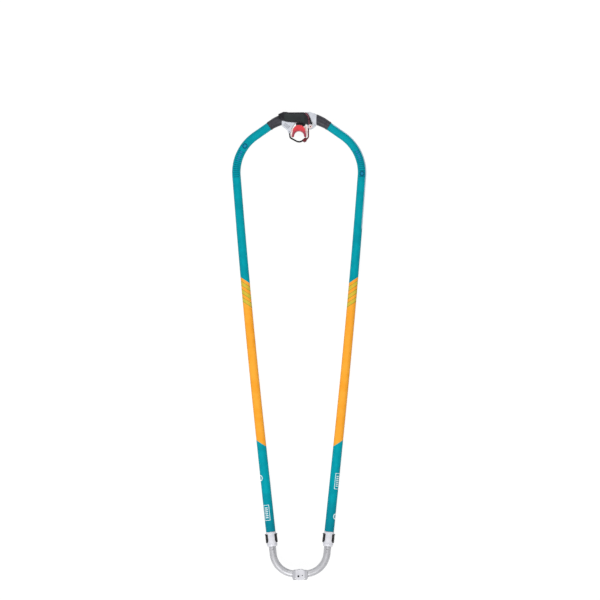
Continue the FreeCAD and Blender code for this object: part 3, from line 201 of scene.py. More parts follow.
class Surface:
    """A material with one Principled shader. Its places are metres in the part's own frame."""

    def __init__(self, name, colour, roughness, **settings):
        self.material = bpy.data.materials.new(name)
        self.material.use_nodes = True
        self.tree = self.material.node_tree
        self.shader = self.tree.nodes["Principled BSDF"]
        self.normal = None
        self.put("Base Color", colour)
        self.put("Roughness", roughness)
        for entry, value in settings.items():
            self.put(entry.replace("_", " "), value)

    def put(self, entry, value):
        feed(self.tree, self.shader.inputs[entry], value)

    def place(self):
        """The three coordinates of a place on the piece."""
        coordinates = self.tree.nodes.new("ShaderNodeTexCoord")
        split = self.tree.nodes.new("ShaderNodeSeparateXYZ")
        self.tree.links.new(coordinates.outputs["Object"], split.inputs[0])
        return [Field(self.tree, output) for output in split.outputs]

    def along(self, origin, direction):
        """How far a place lies from an origin along a direction."""
        x, y, _ = self.place()
        return (x - origin.x) * direction.x + (y - origin.y) * direction.y

    def stored(self, name):
        """A number kept with the mesh."""
        node = self.tree.nodes.new("ShaderNodeAttribute")
        node.attribute_name = name
        return Field(self.tree, node.outputs["Fac"])

    def noise(self, size, detail=2.0, stretch=(1, 1, 1), turn=0.0):
        """Even noise from 0 to 1 with features of a size, stretched along the axes."""
        coordinates = self.tree.nodes.new("ShaderNodeTexCoord")
        mapping = self.tree.nodes.new("ShaderNodeMapping")
        texture = self.tree.nodes.new("ShaderNodeTexNoise")
        mapping.inputs["Rotation"].default_value = (0, 0, turn)
        mapping.inputs["Scale"].default_value = [1 / (size * part) for part in stretch]
        texture.inputs["Scale"].default_value = 1.0
        texture.inputs["Detail"].default_value = detail
        self.tree.links.new(coordinates.outputs["Object"], mapping.inputs["Vector"])
        self.tree.links.new(mapping.outputs["Vector"], texture.inputs["Vector"])
        return Field(self.tree, texture.outputs["Fac"])

    def mix(self, factor, first, second):
        """Goes from the first colour to the second as the factor goes from 0 to 1."""
        node = self.tree.nodes.new("ShaderNodeMix")
        node.data_type = "RGBA"
        for number, value in ((0, factor), (6, first), (7, second)):
            feed(self.tree, node.inputs[number], value)
        return Field(self.tree, node.outputs[2])

    def relief(self, height, depth):
        """Raises and sinks the surface by a field from 0 to 1, to a depth in metres."""
        node = self.tree.nodes.new("ShaderNodeBump")
        node.inputs["Distance"].default_value = depth
        feed(self.tree, node.inputs["Height"], height)
        if self.normal:
            self.tree.links.new(self.normal, node.inputs["Normal"])
        self.normal = node.outputs["Normal"]
        self.tree.links.new(self.normal, self.shader.inputs["Normal"])


def moulded(name, colour, deep, roughness, grain=0.0005, depth=0.00003, **settings):
    """Moulded plastic: a fine eroded grain, slightly uneven colour and gloss, and light scuffs."""
    surface = Surface(name, colour, roughness, Specular_IOR_Level=0.3, **settings)
    clouds = surface.noise(0.02, 3.0)
    surface.put("Base Color", surface.mix(clouds.ramp(0.35, 0.75), colour, deep))
    scuffs = surface.noise(0.003, 4.0, (1, 6, 1), 0.5).ramp(0.6, 0.75)
    surface.put("Roughness", clouds * 0.12 + (roughness - 0.06) + scuffs * 0.08)
    surface.relief(surface.noise(grain, 2.0), depth)
    surface.relief(surface.noise(grain * 12, 1.0), depth * 2)
    return surface


def metal(name, colour, roughness, direction, metallic=1.0, grain=0.0002):
    """Drawn or turned metal: fine lines along a direction, with faint stains."""
    surface = Surface(name, colour, roughness, Metallic=metallic)
    turn = math.atan2(direction.y, direction.x)
    lines = surface.noise(grain, 2.0, (60, 1, 1), -turn)
    stains = surface.noise(0.015, 3.0).ramp(0.4, 0.8)
    dark = tuple(part * 0.86 for part in colour[:3])
    surface.put("Base Color", surface.mix(stains, colour, (*dark, 1.0)))
    surface.put("Roughness", lines * 0.14 + (roughness - 0.07) + stains * 0.06)
    surface.relief(lines, 0.00001)
    return surface


# ---------------------------------------------------------------- the line of an arm


class ArmLine:
    """The middle line of one arm: tangent arcs and lines, met by distance from the front bend's start."""

    def __init__(self, side):
        self.side = side
        self.runs = []
        at = Vector((FRONT_BEND_START, FRONT_HEIGHT))
        heading = 0.0
        done = 0.0
        for length, turn in self.shapes():
            self.runs.append((done, at.copy(), heading, length, turn))
            at = self.ahead(at, heading, length, turn, length)
            heading -= turn
            done += length
        self.leg_start = self.runs[-1][0]

    @staticmethod
    def shapes():
        """Each run's length and its turn to the right in radians."""
        for radius, degrees in (FRONT_BEND, (None, SHOULDER), BIG_BEND, BOW, (None, LEG_LENGTH)):
            if radius is None:
                yield degrees, 0.0
            else:
                yield radius * math.radians(degrees), math.radians(degrees)

    @staticmethod
    def ahead(at, heading, length, turn, distance):
        """The place a distance into a run that starts at a place with a heading."""
        turned = turn * distance / length
        chord = distance if not turned else 2 * (length / turn) * math.sin(turned / 2)
        middle = heading - turned / 2
        return at + Vector((math.cos(middle), math.sin(middle))) * chord

    def at(self, distance):
        """The place, the heading in the plan and the outward direction at a distance."""
        starts = [run[0] for run in self.runs]
        start, at, heading, length, turn = self.runs[max(bisect.bisect(starts, distance) - 1, 0)]
        place = self.ahead(at, heading, length, turn, distance - start)
        angle = heading - turn * (distance - start) / length
        forward = Vector((self.side * math.cos(angle), math.sin(angle), 0))
        outside = Vector((-self.side * forward.y, self.side * forward.x, 0))
        return Vector((self.side * place.x, place.y, 0)), forward, outside

    def behind(self, distance_back):
        """The distance along the line at which it is so far behind the mast axis."""
        low, high = 0.0, self.leg_start + LEG_LENGTH
        for _ in range(40):
            middle = (low + high) / 2
            if -self.at(middle)[0].y < distance_back:
                low = middle
            else:
                high = middle
        return low


ARMS = {name: ArmLine(side) for name, side in SIDES.items()}
GRIP_START = FRONT_BEND[0] * math.radians(SLEEVE_END_TURN)
GRIP_END = ARMS["left"].leg_start + GRIP_LEG_END


def leg_frame(name, station):
    """A frame on the straight leg: X points outward, Y is the frame's up or down, Z runs to the tail."""
    arm = ARMS[name]
    place, forward, outside = arm.at(arm.leg_start + station)
    across = forward.cross(outside)
    turn = Matrix((outside, across, forward)).transposed().to_4x4()
    return Matrix.Translation(place) @ turn


# ---------------------------------------------------------------- meshes and pieces


def skin(name, rings, capped=True, looped=False):
    """A mesh through rings of equally many points, closed at both ends or joined from last to first."""
    count = len(rings[0])
    mesh = bpy.data.meshes.new(name)
    faces = []
    for row in range(len(rings) if looped else len(rings) - 1):
        next_row = (row + 1) % len(rings)
        for column in range(count):
            beside = (column + 1) % count
            corners = ((row, column), (row, beside), (next_row, beside), (next_row, column))
            faces.append(tuple(r * count + c for r, c in corners))
    if capped and not looped:
        faces.append(tuple(range(count)))
        faces.append(tuple(range((len(rings) - 1) * count, len(rings) * count)))
    mesh.from_pydata([point for ring in rings for point in ring], [], faces)
    face_outward(mesh)
    return mesh


def face_outward(mesh):
    """Turns all faces of a mesh outward."""
    work = bmesh.new()
    work.from_mesh(mesh)
    bmesh.ops.recalc_face_normals(work, faces=work.faces)
    work.to_mesh(mesh)
    work.free()


def merged(name, meshes):
    """One mesh out of several, which are used up."""
    work = bmesh.new()
    for mesh in meshes:
        work.from_mesh(mesh)
        bpy.data.meshes.remove(mesh)
    whole = bpy.data.meshes.new(name)
    work.to_mesh(whole)
    work.free()
    return whole


def piece(mesh, body, surface, replaced=(), sharp=38.0):
    """Makes a mesh a piece of the boom that rides on a body."""
    thing = bpy.data.objects.new(mesh.name, mesh)
    bpy.context.scene.collection.objects.link(thing)
    mesh.materials.clear()
    mesh.materials.append(surface.material)
    mesh.shade_smooth()
    mesh.set_sharp_from_angle(angle=math.radians(sharp))
    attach(thing, body)
    if replaced:
        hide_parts(*replaced)
    return thing


def circle(radius, height, count, place=None, flats=0):
    """A ring of points about the Z axis of a frame, round or with a number of flats."""
    points = []
    for number in range(count):
        angle = 2 * math.pi * number / count
        reach = radius
        if flats:
            sector = 2 * math.pi / flats
            reach = radius * math.cos(sector / 2) / math.cos((angle % sector) - sector / 2)
        point = Vector((reach * math.cos(angle), reach * math.sin(angle), height))
        points.append(place @ point if place else point)
    return points


def turned(name, profile, place, count, capped=True, looped=False):
    """A solid turned about a frame's Z axis from radius and height pairs."""
    return skin(name, [circle(radius, height, count, place) for radius, height in profile], capped, looped)


def facing(origin, direction):
    """A frame whose Z axis points along a direction."""
    return Matrix.Translation(origin) @ Vector(direction).to_track_quat("Z", "Y").to_matrix().to_4x4()


def screw_head(name, origin, direction, radius, height, socket=0.5):
    """A button head with a six-sided socket; its underside is at the origin."""
    place = facing(Vector(origin), direction)
    count = 36
    wide = radius * socket
    rings = [
        circle(radius, 0.0, count, place),
        circle(radius, height * 0.35, count, place),
        circle(radius * 0.95, height * 0.68, count, place),
        circle(radius * 0.84, height * 0.9, count, place),
        circle(radius * 0.7, height, count, place),
        circle(wide * 1.08, height, count, place, 6),
        circle(wide, height * 0.92, count, place, 6),
        circle(wide * 0.98, height * 0.35, count, place, 6),
        circle(wide * 0.3, height * 0.25, count, place),
    ]
    return skin(name, rings)


def rounded(corners, inset=0.0, steps=7):
    """The points of an outline whose corners are x, y and rounding radius, drawn in by an inset."""
    points = []
    area = sum(a[0] * b[1] - b[0] * a[1] for a, b in zip(corners, corners[1:] + corners[:1]))
    way = 1 if area > 0 else -1
    for index, (x, y, radius) in enumerate(corners):
        here = Vector((x, y))
        back = (Vector(corners[index - 1][:2]) - here).normalized()
        ahead = (Vector(corners[(index + 1) % len(corners)][:2]) - here).normalized()
        half = back.angle(ahead) / 2
        bisector = (back + ahead).normalized()
        convex = (-back.x * ahead.y + back.y * ahead.x) * way > 0
        corner = here + bisector * (inset / math.sin(half)) * (1 if convex else -1)
        bend = max(radius - inset, 0.0001) if convex else radius + inset
        centre = corner + bisector * (bend / math.sin(half))
        reach = bend / math.tan(half)
        first = corner + back * reach - centre
        sweep = first.angle_signed(corner + ahead * reach - centre)
        for step in range(steps):
            turn = Matrix.Rotation(-sweep * step / (steps - 1), 2)
            points.append(centre + turn @ first)
    return points


def slab(name, corners, low, high, edge, steps=4):
    """A flat solid from an outline between two heights, with rounded upper and lower edges."""
    quarter = [math.pi / 2 * step / steps for step in range(steps + 1)]
    rim = [(edge * (1 - math.cos(angle)), edge * (1 - math.sin(angle))) for angle in quarter]
    levels = [(low + rise, inset) for rise, inset in rim]
    levels += [(high - rise, inset) for rise, inset in reversed(rim)]
    return skin(name, [[(p.x, p.y, height) for p in rounded(corners, inset)] for height, inset in levels])


def bar(name, start, end, width, low, high, edge):
    """A slab along a line in the plan."""
    start, end = Vector(start), Vector(end)
    run = (end - start).normalized() * (width / 2)
    side = Vector((-run.y, run.x))
    corners = [start - run - side, end + run - side, end + run + side, start - run + side]
    return slab(name, [(*corner, width * 0.49) for corner in corners], low, high, edge)


def above_and_below(name, make):
    """One mesh out of a mesh for the upper side and its mirror image below."""
    upper = make(f"{name}_upper")
    lower = make(f"{name}_lower")
    lower.transform(Matrix.Scale(-1, 4, (0, 0, 1)))
    face_outward(lower)
    return merged(name, [upper, lower])


# ---------------------------------------------------------------- grips and sleeves

UP = Vector((0, 0, 1))
GRIP_SIDES = 72
SEAM_HALF_WIDTH = 0.0011
SEAM_DEPTH = 0.0007
GRIP_STEP = 0.0032
GRIP_ROUND = 0.0018
MARK_RADIUS = 0.0165


def tube_radius(distance):
    """The outside of the arm tube inside the foam."""
    return 0.013 + 0.0015 * distance / (ARMS["left"].leg_start + 0.416)


def round_section(arm, distance, radius_at, angles):
    """A ring of points about the arm's line; angle 0 is outward and a quarter turn is up."""
    place, _, outside = arm.at(distance)
    return [place + (outside * math.cos(a) + UP * math.sin(a)) * radius_at(a) for a in angles]


def store(mesh, name, values):
    """Keeps a number for each point of a mesh."""
    attribute = mesh.attributes.new(name, "FLOAT", "POINT")
    attribute.data.foreach_set("value", values)


def grip_angles():
    """Even angles round the grip, with extra ones at the seam along its underside."""
    angles = [2 * math.pi * number / GRIP_SIDES for number in range(GRIP_SIDES)]
    seam = 1.5 * math.pi
    wide = SEAM_HALF_WIDTH / GRIP_RADII[1]
    return sorted([*angles, seam - wide, seam - wide / 2, seam + wide / 2, seam + wide])


def foam_grip(name):
    """The foam sleeve of one arm: slightly uneven, rounded at its ends, with a glued seam underneath."""
    arm = ARMS[name]
    angles = grip_angles()
    length = GRIP_END - GRIP_START
    steps = int(length / GRIP_STEP)
    ends = [0.0, 0.0004, 0.001, GRIP_ROUND]
    stations = [GRIP_START + end for end in ends]
    stations += [GRIP_START + length * step / steps for step in range(1, steps)]
    stations += [GRIP_END - end for end in reversed(ends)]

    def outer(distance):
        share = (distance - GRIP_START) / length
        to_end = min(distance - GRIP_START, GRIP_END - distance, GRIP_ROUND)
        drop = GRIP_ROUND - math.sqrt(GRIP_ROUND**2 - (GRIP_ROUND - to_end) ** 2)
        radius = GRIP_RADII[0] + (GRIP_RADII[1] - GRIP_RADII[0]) * share - drop

        def radius_at(angle):
            across = (angle - 1.5 * math.pi) * radius / SEAM_HALF_WIDTH
            seam = SEAM_DEPTH * max(0.0, 1 - across * across)
            uneven = noise.noise(Vector((distance * 25, math.cos(angle), math.sin(angle))))
            return radius - seam + uneven * 0.0001

        return radius_at

    rings = [round_section(arm, d, outer(d), angles) for d in stations]
    inner_stations = stations[:0:-6] + [GRIP_START]
    rings += [round_section(arm, d, lambda _, r=tube_radius(d): r, angles) for d in inner_stations]
    mesh = skin(f"{name}_grip_foam", rings, looped=True)
    every = stations + inner_stations
    radii = [outer(d)(0) for d in stations] + [tube_radius(d) for d in inner_stations]
    store(mesh, "along", [d for d in every for _ in angles])
    store(mesh, "lateral", [radius * math.cos(a) for radius in radii for a in angles])
    grip = piece(mesh, "root", foam(name), [f"{name}_grip"])


def front_sleeve(name):
    """The moulded sleeve between the head and the grip, with a cuff and three grooves at its outer end."""
    arm = ARMS[name]
    angles = [2 * math.pi * number / 64 for number in range(64)]
    start = FRONT_BEND[0] * math.asin((SLEEVE_INNER_X - FRONT_BEND_START) / FRONT_BEND[0])
    length = GRIP_START - start
    steps = 110

    def profile(share):
        radius = SLEEVE_RADII[0] + (SLEEVE_RADII[1] - SLEEVE_RADII[0]) * share
        from_end = (1 - share) * length
        for groove in (0.009, 0.0125, 0.016):
            radius -= 0.0006 * max(0.0, 1 - ((from_end - groove) / 0.0009) ** 2)
        if from_end < 0.006:
            radius += 0.00045 * min(1.0, (0.006 - from_end) / 0.0006)
        edge = 0.0012
        for gap in (from_end, share * length):
            if gap < edge:
                radius -= edge - math.sqrt(edge**2 - (edge - gap) ** 2)
        return radius

    def section(share, radius):
        """The first ring stands square to the X axis, and the rest turn to the arm's line."""
        place, forward, outside = arm.at(start + share * length)
        heading = forward.angle(Vector((arm.side, 0, 0)))
        lean = heading * (1 - share) ** 3
        across = Matrix.Rotation(arm.side * lean, 3, "Z") @ outside
        centre = place + Vector((0, SLEEVE_RISE * (1 - share), 0))
        wide = radius / math.cos(lean)
        return [centre + across * wide * math.cos(a) + UP * radius * math.sin(a) for a in angles]

    shares = [step / steps for step in range(steps + 1)]
    rings = [section(share, profile(share)) for share in shares]
    rings += [section(share, tube_radius(start + share * length)) for share in shares[::-10]]
    mesh = skin(f"{name}_sleeve_shell", rings, looped=True)
    return piece(mesh, "root", SURFACES["sleeve_black"], [f"{name}_front_sleeve"])


# ---------------------------------------------------------------- the foam's printed surface and a painted edge highlight

TEAL = shade(0, 158, 172)
TEAL_DEEP = shade(0, 146, 162)
TEAL_DARK = shade(0, 92, 116)
TEAL_REAR = shade(8, 120, 140)
TEAL_BLUE = shade(44, 124, 184)
ORANGE = shade(254, 174, 58)
ORANGE_DEEP = shade(250, 165, 47)
LIME = shade(196, 196, 66)
OLIVE = shade(98, 118, 62)
PRINT_WHITE = shade(236, 246, 248)
# A pale blue-white for the painted highlight along each grip's outer edge.
EDGE_HIGHLIGHT_PALE = shade(190, 214, 232)

# White marks: kind, distance behind the mast axis, distance round from the top outward, half length,
# half width, and for a ring its line as a share of its radius.
MARKS = {
    "left": [("ring", 1.220, 0.019, 0.011, 0.010, 0.3), ("box", 1.345, 0.0078, 0.028, 0.0112)],
    "right": [("box", 1.2325, 0.0118, 0.0285, 0.0101), ("ring", 1.358, 0.019, 0.011, 0.010, 0.4)],
}
TONAL_RING = {"left": 0.035, "right": 0.134}
# Where the painted highlight along each grip's outer edge begins, as a distance round from the top.
EDGE_HIGHLIGHT_START = {"left": 0.0205, "right": 0.0150}


MARK_LINE = 0.0016


def box_mark(along, around, place, offset, half_length, half_width):
    """A framed box with short bars across it."""
    line = MARK_LINE
    frame_mask = along.band(place - half_length, place + half_length)
    frame_mask *= around.band(offset - half_width, offset + half_width)
    inside = along.band(place - half_length + line, place + half_length - line)
    inside *= around.band(offset - half_width + line, offset + half_width - line)
    bars = (along - place).repeat(0.007).band(0.002, 0.005)
    bars *= along.band(place - half_length * 0.75, place + half_length * 0.75)
    bars *= around.band(offset - half_width * 0.5, offset + half_width * 0.5)
    return frame_mask - inside + bars


def ring_mark(along, around, place, offset, half_length, half_width, line=0.2):
    """An oval ring."""
    reach = ((along - place) / half_length).work("POWER", 2.0)
    reach += ((around - offset) / half_width).work("POWER", 2.0)
    return reach.work("SQRT").band(1 - line, 1.0, 0.02)


def tonal_marks(surface, teal, arm, along, around, ring_place):
    """Print in the big bend, near the foam's own teal: a row of short bars, blue tabs and a ring."""
    start, end = (arm.behind(back) for back in TONAL_ZONE)
    bars = (along - start).repeat(0.0072).band(0.0010, 0.0044) * along.band(start, end)
    teal = surface.mix(bars * around.band(-0.0125, 0.0125) * 0.7, teal, TEAL_DARK)
    tabs = (along - start).repeat(0.0108).band(0.0016, 0.0092) * along.band(start, start + 0.038)
    teal = surface.mix(tabs * around.band(-0.004, 0.0035) * 0.8, teal, TEAL_BLUE)
    place = arm.behind(ring_place)
    disc = ring_mark(along, around, place, 0.0, 0.010, 0.010, 1.0)
    teal = surface.mix(disc * 0.5, teal, TEAL_BLUE)
    return surface.mix(ring_mark(along, around, place, 0.0, 0.010, 0.010, 0.42), teal, TEAL_DARK)


def foam(name):
    """Soft foam under a printed skin: teal, an orange zone with slanted bands, plain white marks, and a
    painted highlight along the outer edge of its front part.
    """
    arm = ARMS[name]
    surface = Surface(f"printed_foam_{name}", TEAL, 0.62, Specular_IOR_Level=0.06)
    along, lateral = surface.stored("along"), surface.stored("lateral")
    height = surface.place()[2]
    around = lateral.work("ARCTAN2", height) * MARK_RADIUS
    slanted = along + lateral * SLANT
    clouds = surface.noise(0.03, 3.0)
    teal = surface.mix(clouds.ramp(0.35, 0.7), TEAL, TEAL_DEEP)
    orange = surface.mix(clouds.ramp(0.35, 0.7), ORANGE, ORANGE_DEEP)
    teal = surface.mix(along.ramp(*map(arm.behind, REAR_FADE)) * 0.8, teal, TEAL_REAR)
    colour = tonal_marks(surface, teal, arm, along, around, TONAL_RING[name])
    start, end = (arm.behind(back) for back in ORANGE_ZONE)
    colour = surface.mix(slanted.band(start, end, 0.0004), colour, orange)
    for near, far in HATCH_BANDS:
        low, high = arm.behind(near), arm.behind(far)
        patchy = surface.noise(0.008, 2.0).ramp(0.3, 0.7)
        colour = surface.mix(slanted.band(low, high) * (patchy * 0.6 + 0.35), colour, LIME)
        colour = surface.mix(slanted.edge(low, high, 0.0016) * 0.8, colour, OLIVE)
    makers = {"box": box_mark, "ring": ring_mark}
    for kind, back, *layout in MARKS[name]:
        mask = makers[kind](along, around, arm.behind(back), *layout)
        colour = surface.mix(mask, colour, PRINT_WHITE)
    # Painted highlight: a thin pale line along the outer edge of each grip's front part, where light catches
    # its rim.
    painted_edge_highlight = around.band(EDGE_HIGHLIGHT_START[name], 0.027)
    painted_edge_highlight *= along.band(GRIP_START + 0.004, arm.behind(EDGE_HIGHLIGHT_END), 0.004)
    surface.put("Base Color", surface.mix(painted_edge_highlight, colour, EDGE_HIGHLIGHT_PALE))
    worn = surface.noise(0.012, 4.0).ramp(0.5, 0.8)
    surface.put("Roughness", worn * 0.14 + 0.56)
    weave = (along + around).wave(0.0026) * (along - around).wave(0.0026)
    surface.relief(weave * 0.5 + 0.5, 0.00012)
    surface.relief(surface.noise(0.0006, 3.0), 0.00008)
    return surface


# ---------------------------------------------------------------- the other surfaces

BLACK = shade(38, 38, 43)
BLACK_DEEP = shade(26, 26, 30)
HOUSING = shade(212, 215, 223)
HOUSING_DEEP = shade(192, 195, 204)
RED = shade(232, 62, 70)
RED_DEEP = shade(200, 44, 54)
# Deeper red for the painted shade on the jaw's sides.
RED_SIDE_SHADE = shade(164, 58, 78)
MAROON = shade(112, 36, 44)
MAROON_DEEP = shade(84, 24, 30)
PALE = shade(240, 216, 212)
PALE_DEEP = shade(222, 196, 194)
GREY = shade(214, 214, 219)
GREY_DEEP = shade(198, 198, 205)
# Darker grey for the painted shade on the end fitting's outer parts.
GREY_WING_SHADE = shade(150, 150, 156)
PURE_BLACK = shade(16, 16, 18)
ALLOY = shade(226, 226, 230)
ANODISED = shade(194, 194, 198)
STEEL = shade(206, 206, 212)


def jaw_rubber():
    """Cast rubber: smooth, with faint flow marks and small pits, and painted shade that turns the jaw's sides
    a deeper red.
    """
    surface = Surface("jaw_rubber", RED, 0.42, Coat_Weight=0.08, Coat_Roughness=0.35)
    flow = surface.noise(0.012, 3.0, (1, 1, 3))
    red = surface.mix(flow.ramp(0.35, 0.75), RED, RED_DEEP)
    # Painted shade: towards the lips the jaw's sides turn a deeper crimson red.
    side = surface.place()[1].ramp(0.026, 0.010)
    surface.put("Base Color", surface.mix(side, red, RED_SIDE_SHADE))
    surface.put("Roughness", flow * 0.2 + 0.32)
    surface.relief(surface.noise(0.0009, 3.0), 0.00005)
    surface.relief(surface.noise(0.006, 1.0), 0.0001)
    return surface


def webbing():
    """Tightly woven black webbing: ribs across its height and a finer weave along it."""
    surface = Surface("woven_webbing", PURE_BLACK, 0.8, Specular_IOR_Level=0.1)
    height = surface.place()[2]
    along = surface.stored("along")
    ribs = height.wave(0.0016)
    weft = along.wave(0.0011) * height.wave(0.0032)
    surface.relief(ribs * 0.35 + weft * 0.35 + 0.5, 0.00016)
    fuzz = surface.noise(0.0004, 3.0)
    surface.relief(fuzz, 0.00004)
    surface.put("Base Color", surface.mix(fuzz * 0.3 + ribs * 0.15 + 0.15, PURE_BLACK, BLACK_DEEP))
    return surface


def fitting_plastic():
    """The end fitting's nylon, with painted shade that makes its outer parts darker than its middle."""
    surface = moulded("fitting_plastic", GREY, GREY_DEEP, 0.42)
    base = surface.shader.inputs["Base Color"].links[0].from_socket
    # Painted shade: the fitting darkens outward of 14 to 18 mm from its middle.
    wing_shade = surface.place()[0].work("ABSOLUTE").ramp(0.014, 0.018)
    surface.put("Base Color", surface.mix(wing_shade * 0.6, Field(surface.tree, base), GREY_WING_SHADE))
    return surface


def leg_alloy(name):
    """The tail tube: matt anodised, drawn along its length, with a printed scale on its upper side."""
    arm = ARMS[name]
    origin, forward, outside = arm.at(arm.leg_start)
    surface = metal(f"drawn_alloy_{name}", ANODISED, 0.5, forward, 0.3)
    along = surface.along(origin, forward)
    lateral = surface.along(origin, outside)
    height = surface.place()[2]
    on_top = height.ramp(0.0, 0.001)
    leg = along.band(0.1, 0.452)
    short = along.repeat(0.005).band(0.002, 0.003) * lateral.band(-0.0045, -0.0005)
    long = along.repeat(0.025).band(0.0115, 0.0135) * lateral.band(-0.0045, 0.0035)
    rule = lateral.band(-0.0050, -0.0043)
    scale = (short + long + rule).work("MINIMUM", 1.0) * leg * on_top
    base = surface.shader.inputs["Base Color"].links[0].from_socket
    surface.put("Base Color", surface.mix(scale * 0.85, Field(surface.tree, base), shade(70, 70, 76)))
    return surface


def make_surfaces():
    along_x, along_y = Vector((1, 0, 0)), Vector((0, 1, 0))
    return {
        "sleeve_black": moulded("sleeve_plastic", shade(62, 62, 70), shade(48, 48, 55), 0.5),
        "lever_black": moulded("lever_plastic", BLACK, BLACK_DEEP, 0.42),
        "lever_pad": moulded("lever_pad_plastic", shade(38, 45, 45), shade(31, 34, 38), 0.5),
        "inlay_dark": moulded("inlay_dark_plastic", shade(74, 30, 44), shade(54, 22, 34), 0.4),
        # The pink line down the lever's maroon inlay is a painted highlight.
        "inlay_pink": moulded("inlay_pink_highlight", shade(150, 92, 102), shade(128, 76, 86), 0.35),
        "casing_white": moulded("housing_plastic", HOUSING, HOUSING_DEEP, 0.36, 0.0006, 0.00002),
        # The wedge ribs' darker grey is painted shade along the casing's slanted edge.
        "rib_grey": moulded("rib_shade_plastic", shade(150, 153, 160), shade(132, 135, 142), 0.42),
        "jaw_red": jaw_rubber(),
        "cheek_pale": moulded("cheek_plastic", PALE, PALE_DEEP, 0.4),
        "cap_pale": moulded("cap_plastic", PALE, PALE_DEEP, 0.28, 0.001, 0.00001, Coat_Weight=0.3),
        "casing_grey": fitting_plastic(),
        "collar_white": moulded("collar_plastic", shade(222, 222, 228), shade(206, 206, 214), 0.4),
        "clip_black": moulded("clip_plastic", PURE_BLACK, shade(12, 12, 14), 0.45),
        "strap_maroon": moulded("strap_end_plastic", MAROON, MAROON_DEEP, 0.42),
        "liner_black": moulded("bush_plastic", BLACK, BLACK_DEEP, 0.35),
        "strap_black": webbing(),
        "steel": metal("stainless_steel", STEEL, 0.3, along_x),
        "tube_aluminium": metal("arm_alloy", ALLOY, 0.36, along_y),
    }


SURFACES = make_surfaces()


def dress_nodes():
    """Gives every node of the frame the material of its slot."""
    for entry in frame["record"]["subparts"]:
        node = frame["nodes"][entry["node"]]
        surface = SURFACES.get(entry["material_slot"]) or SURFACES["steel"]
        if entry["material_slot"] == "grip_teal":
            surface = SURFACES["sleeve_black"]
        if entry["node"].endswith("_tail_tube"):
            surface = leg_alloy(entry["node"].split("_")[0])
        if not node.material_slots:
            node.data.materials.append(surface.material)
        for place in node.material_slots:
            place.material = surface.material


# ---------------------------------------------------------------- the head's details

LEVER_PANEL = [
    (-0.0530, 0.0585, 0.004), (-0.0530, 0.0810, 0.006), (-0.0400, 0.0802, 0.003), (-0.0340, 0.0790, 0.003),
    (0.0140, 0.0790, 0.008), (0.0205, 0.0730, 0.006), (0.0205, 0.0490, 0.004), (-0.0130, 0.0546, 0.008),
    (-0.0380, 0.0564, 0.006),
]
HEAD_SCREWS = [(-0.0500, 0.0375), (-0.0565, 0.0750), (0.0320, 0.0794), (0.0565, 0.0385)]
HEAD_SCREW_SEAT = 0.0246


def jaw_stations():
    """Pairs of outer and inner points of the jaw seen from above, from one lip over the arch to the other."""
    centre = Vector((0, JAW_ARCH_CENTRE))

    def on_arch(angle):
        return centre + Vector((math.cos(angle), math.sin(angle))) * JAW_OUTER

    foot = on_arch(JAW_FLARE)
    lip = Vector((foot.x + (foot.y - JAW_LIP_Y) * math.tan(JAW_FLARE), JAW_LIP_Y))
    mouth = Vector((JAW_MOUTH, JAW_LIP_Y))
    bend = Vector((JAW_INNER, 0))
    side = lip.lerp(foot, 0.25)
    cheek = [(lip.lerp(side, share), mouth.lerp(bend, share)) for share in (0, 0.1, 0.3, 0.6)]
    arch = []
    steps = 132
    for step in range(steps + 1):
        share = step / steps
        angle = math.pi * share
        run = Vector((math.cos(angle), math.sin(angle)))
        flute = JAW_FLUTE_DEPTH * max(0.0, math.sin(angle * JAW_FLUTES)) ** 0.5
        along = min(share, 1 - share) / 0.17
        outer = side.lerp(foot, along)
        if along >= 1:
            outer = on_arch(JAW_FLARE + (math.pi - 2 * JAW_FLARE) * (share - 0.17) / 0.66)
        elif share > 0.5:
            outer.x = -outer.x
        arch.append((outer, run * (JAW_INNER + flute)))
    far_cheek = [(Vector((-a.x, a.y)), Vector((-b.x, b.y))) for a, b in reversed(cheek)]
    return cheek + arch + far_cheek


def mast_jaw():
    """The red rubber jaw: rounded all along its rims, with flutes inside that grip the mast."""
    stations = jaw_stations()
    rings = []
    for number, (outer, inner) in enumerate(stations):
        width = (outer - inner).length
        run = (outer - inner) / width
        near_end = min(number, len(stations) - 1 - number)
        drawn_in = (0.0007, 0.0002)[near_end] if near_end < 2 else 0.0
        edge = min(0.0024, width * 0.42)
        ring = []
        for turn in range(4):
            for step in range(6):
                angle = math.pi / 2 * (turn + step / 5)
                reach = edge - drawn_in
                along = (width - edge if turn in (0, 3) else edge) + reach * math.cos(angle)
                height = (1 if turn < 2 else -1) * (JAW_HALF_HEIGHT - edge) + reach * math.sin(angle)
                ring.append((*(inner + run * along), height))
        rings.append(ring)
    mesh = skin("jaw_rubber", rings)
    return piece(mesh, "root", SURFACES["jaw_red"], ["mast_jaw"])


def head_screws():
    heads = []
    for number, (x, y) in enumerate(HEAD_SCREWS):
        for way in (1, -1):
            origin = (x, y, way * HEAD_SCREW_SEAT)
            heads.append(screw_head(f"head_{number}_{way}", origin, (0, 0, way), 0.00295, 0.0024, 0.5))
    piece(merged("casing_bolts", heads), "root", SURFACES["steel"], ["head_screws"])


def jaw_screws():
    heads = []
    for way, face in ((-1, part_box("left_jaw_cheek")[0].x), (1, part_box("right_jaw_cheek")[1].x)):
        for level in (-1, 1):
            origin = (face, JAW_SCREW_Y, level * JAW_SCREW_LEVEL)
            heads.append(screw_head(f"jaw_{way}_{level}", origin, (way, 0, 0), 0.0028, 0.0014, 0.5))
    piece(merged("cheek_bolts", heads), "root", SURFACES["steel"], ["jaw_screws"])


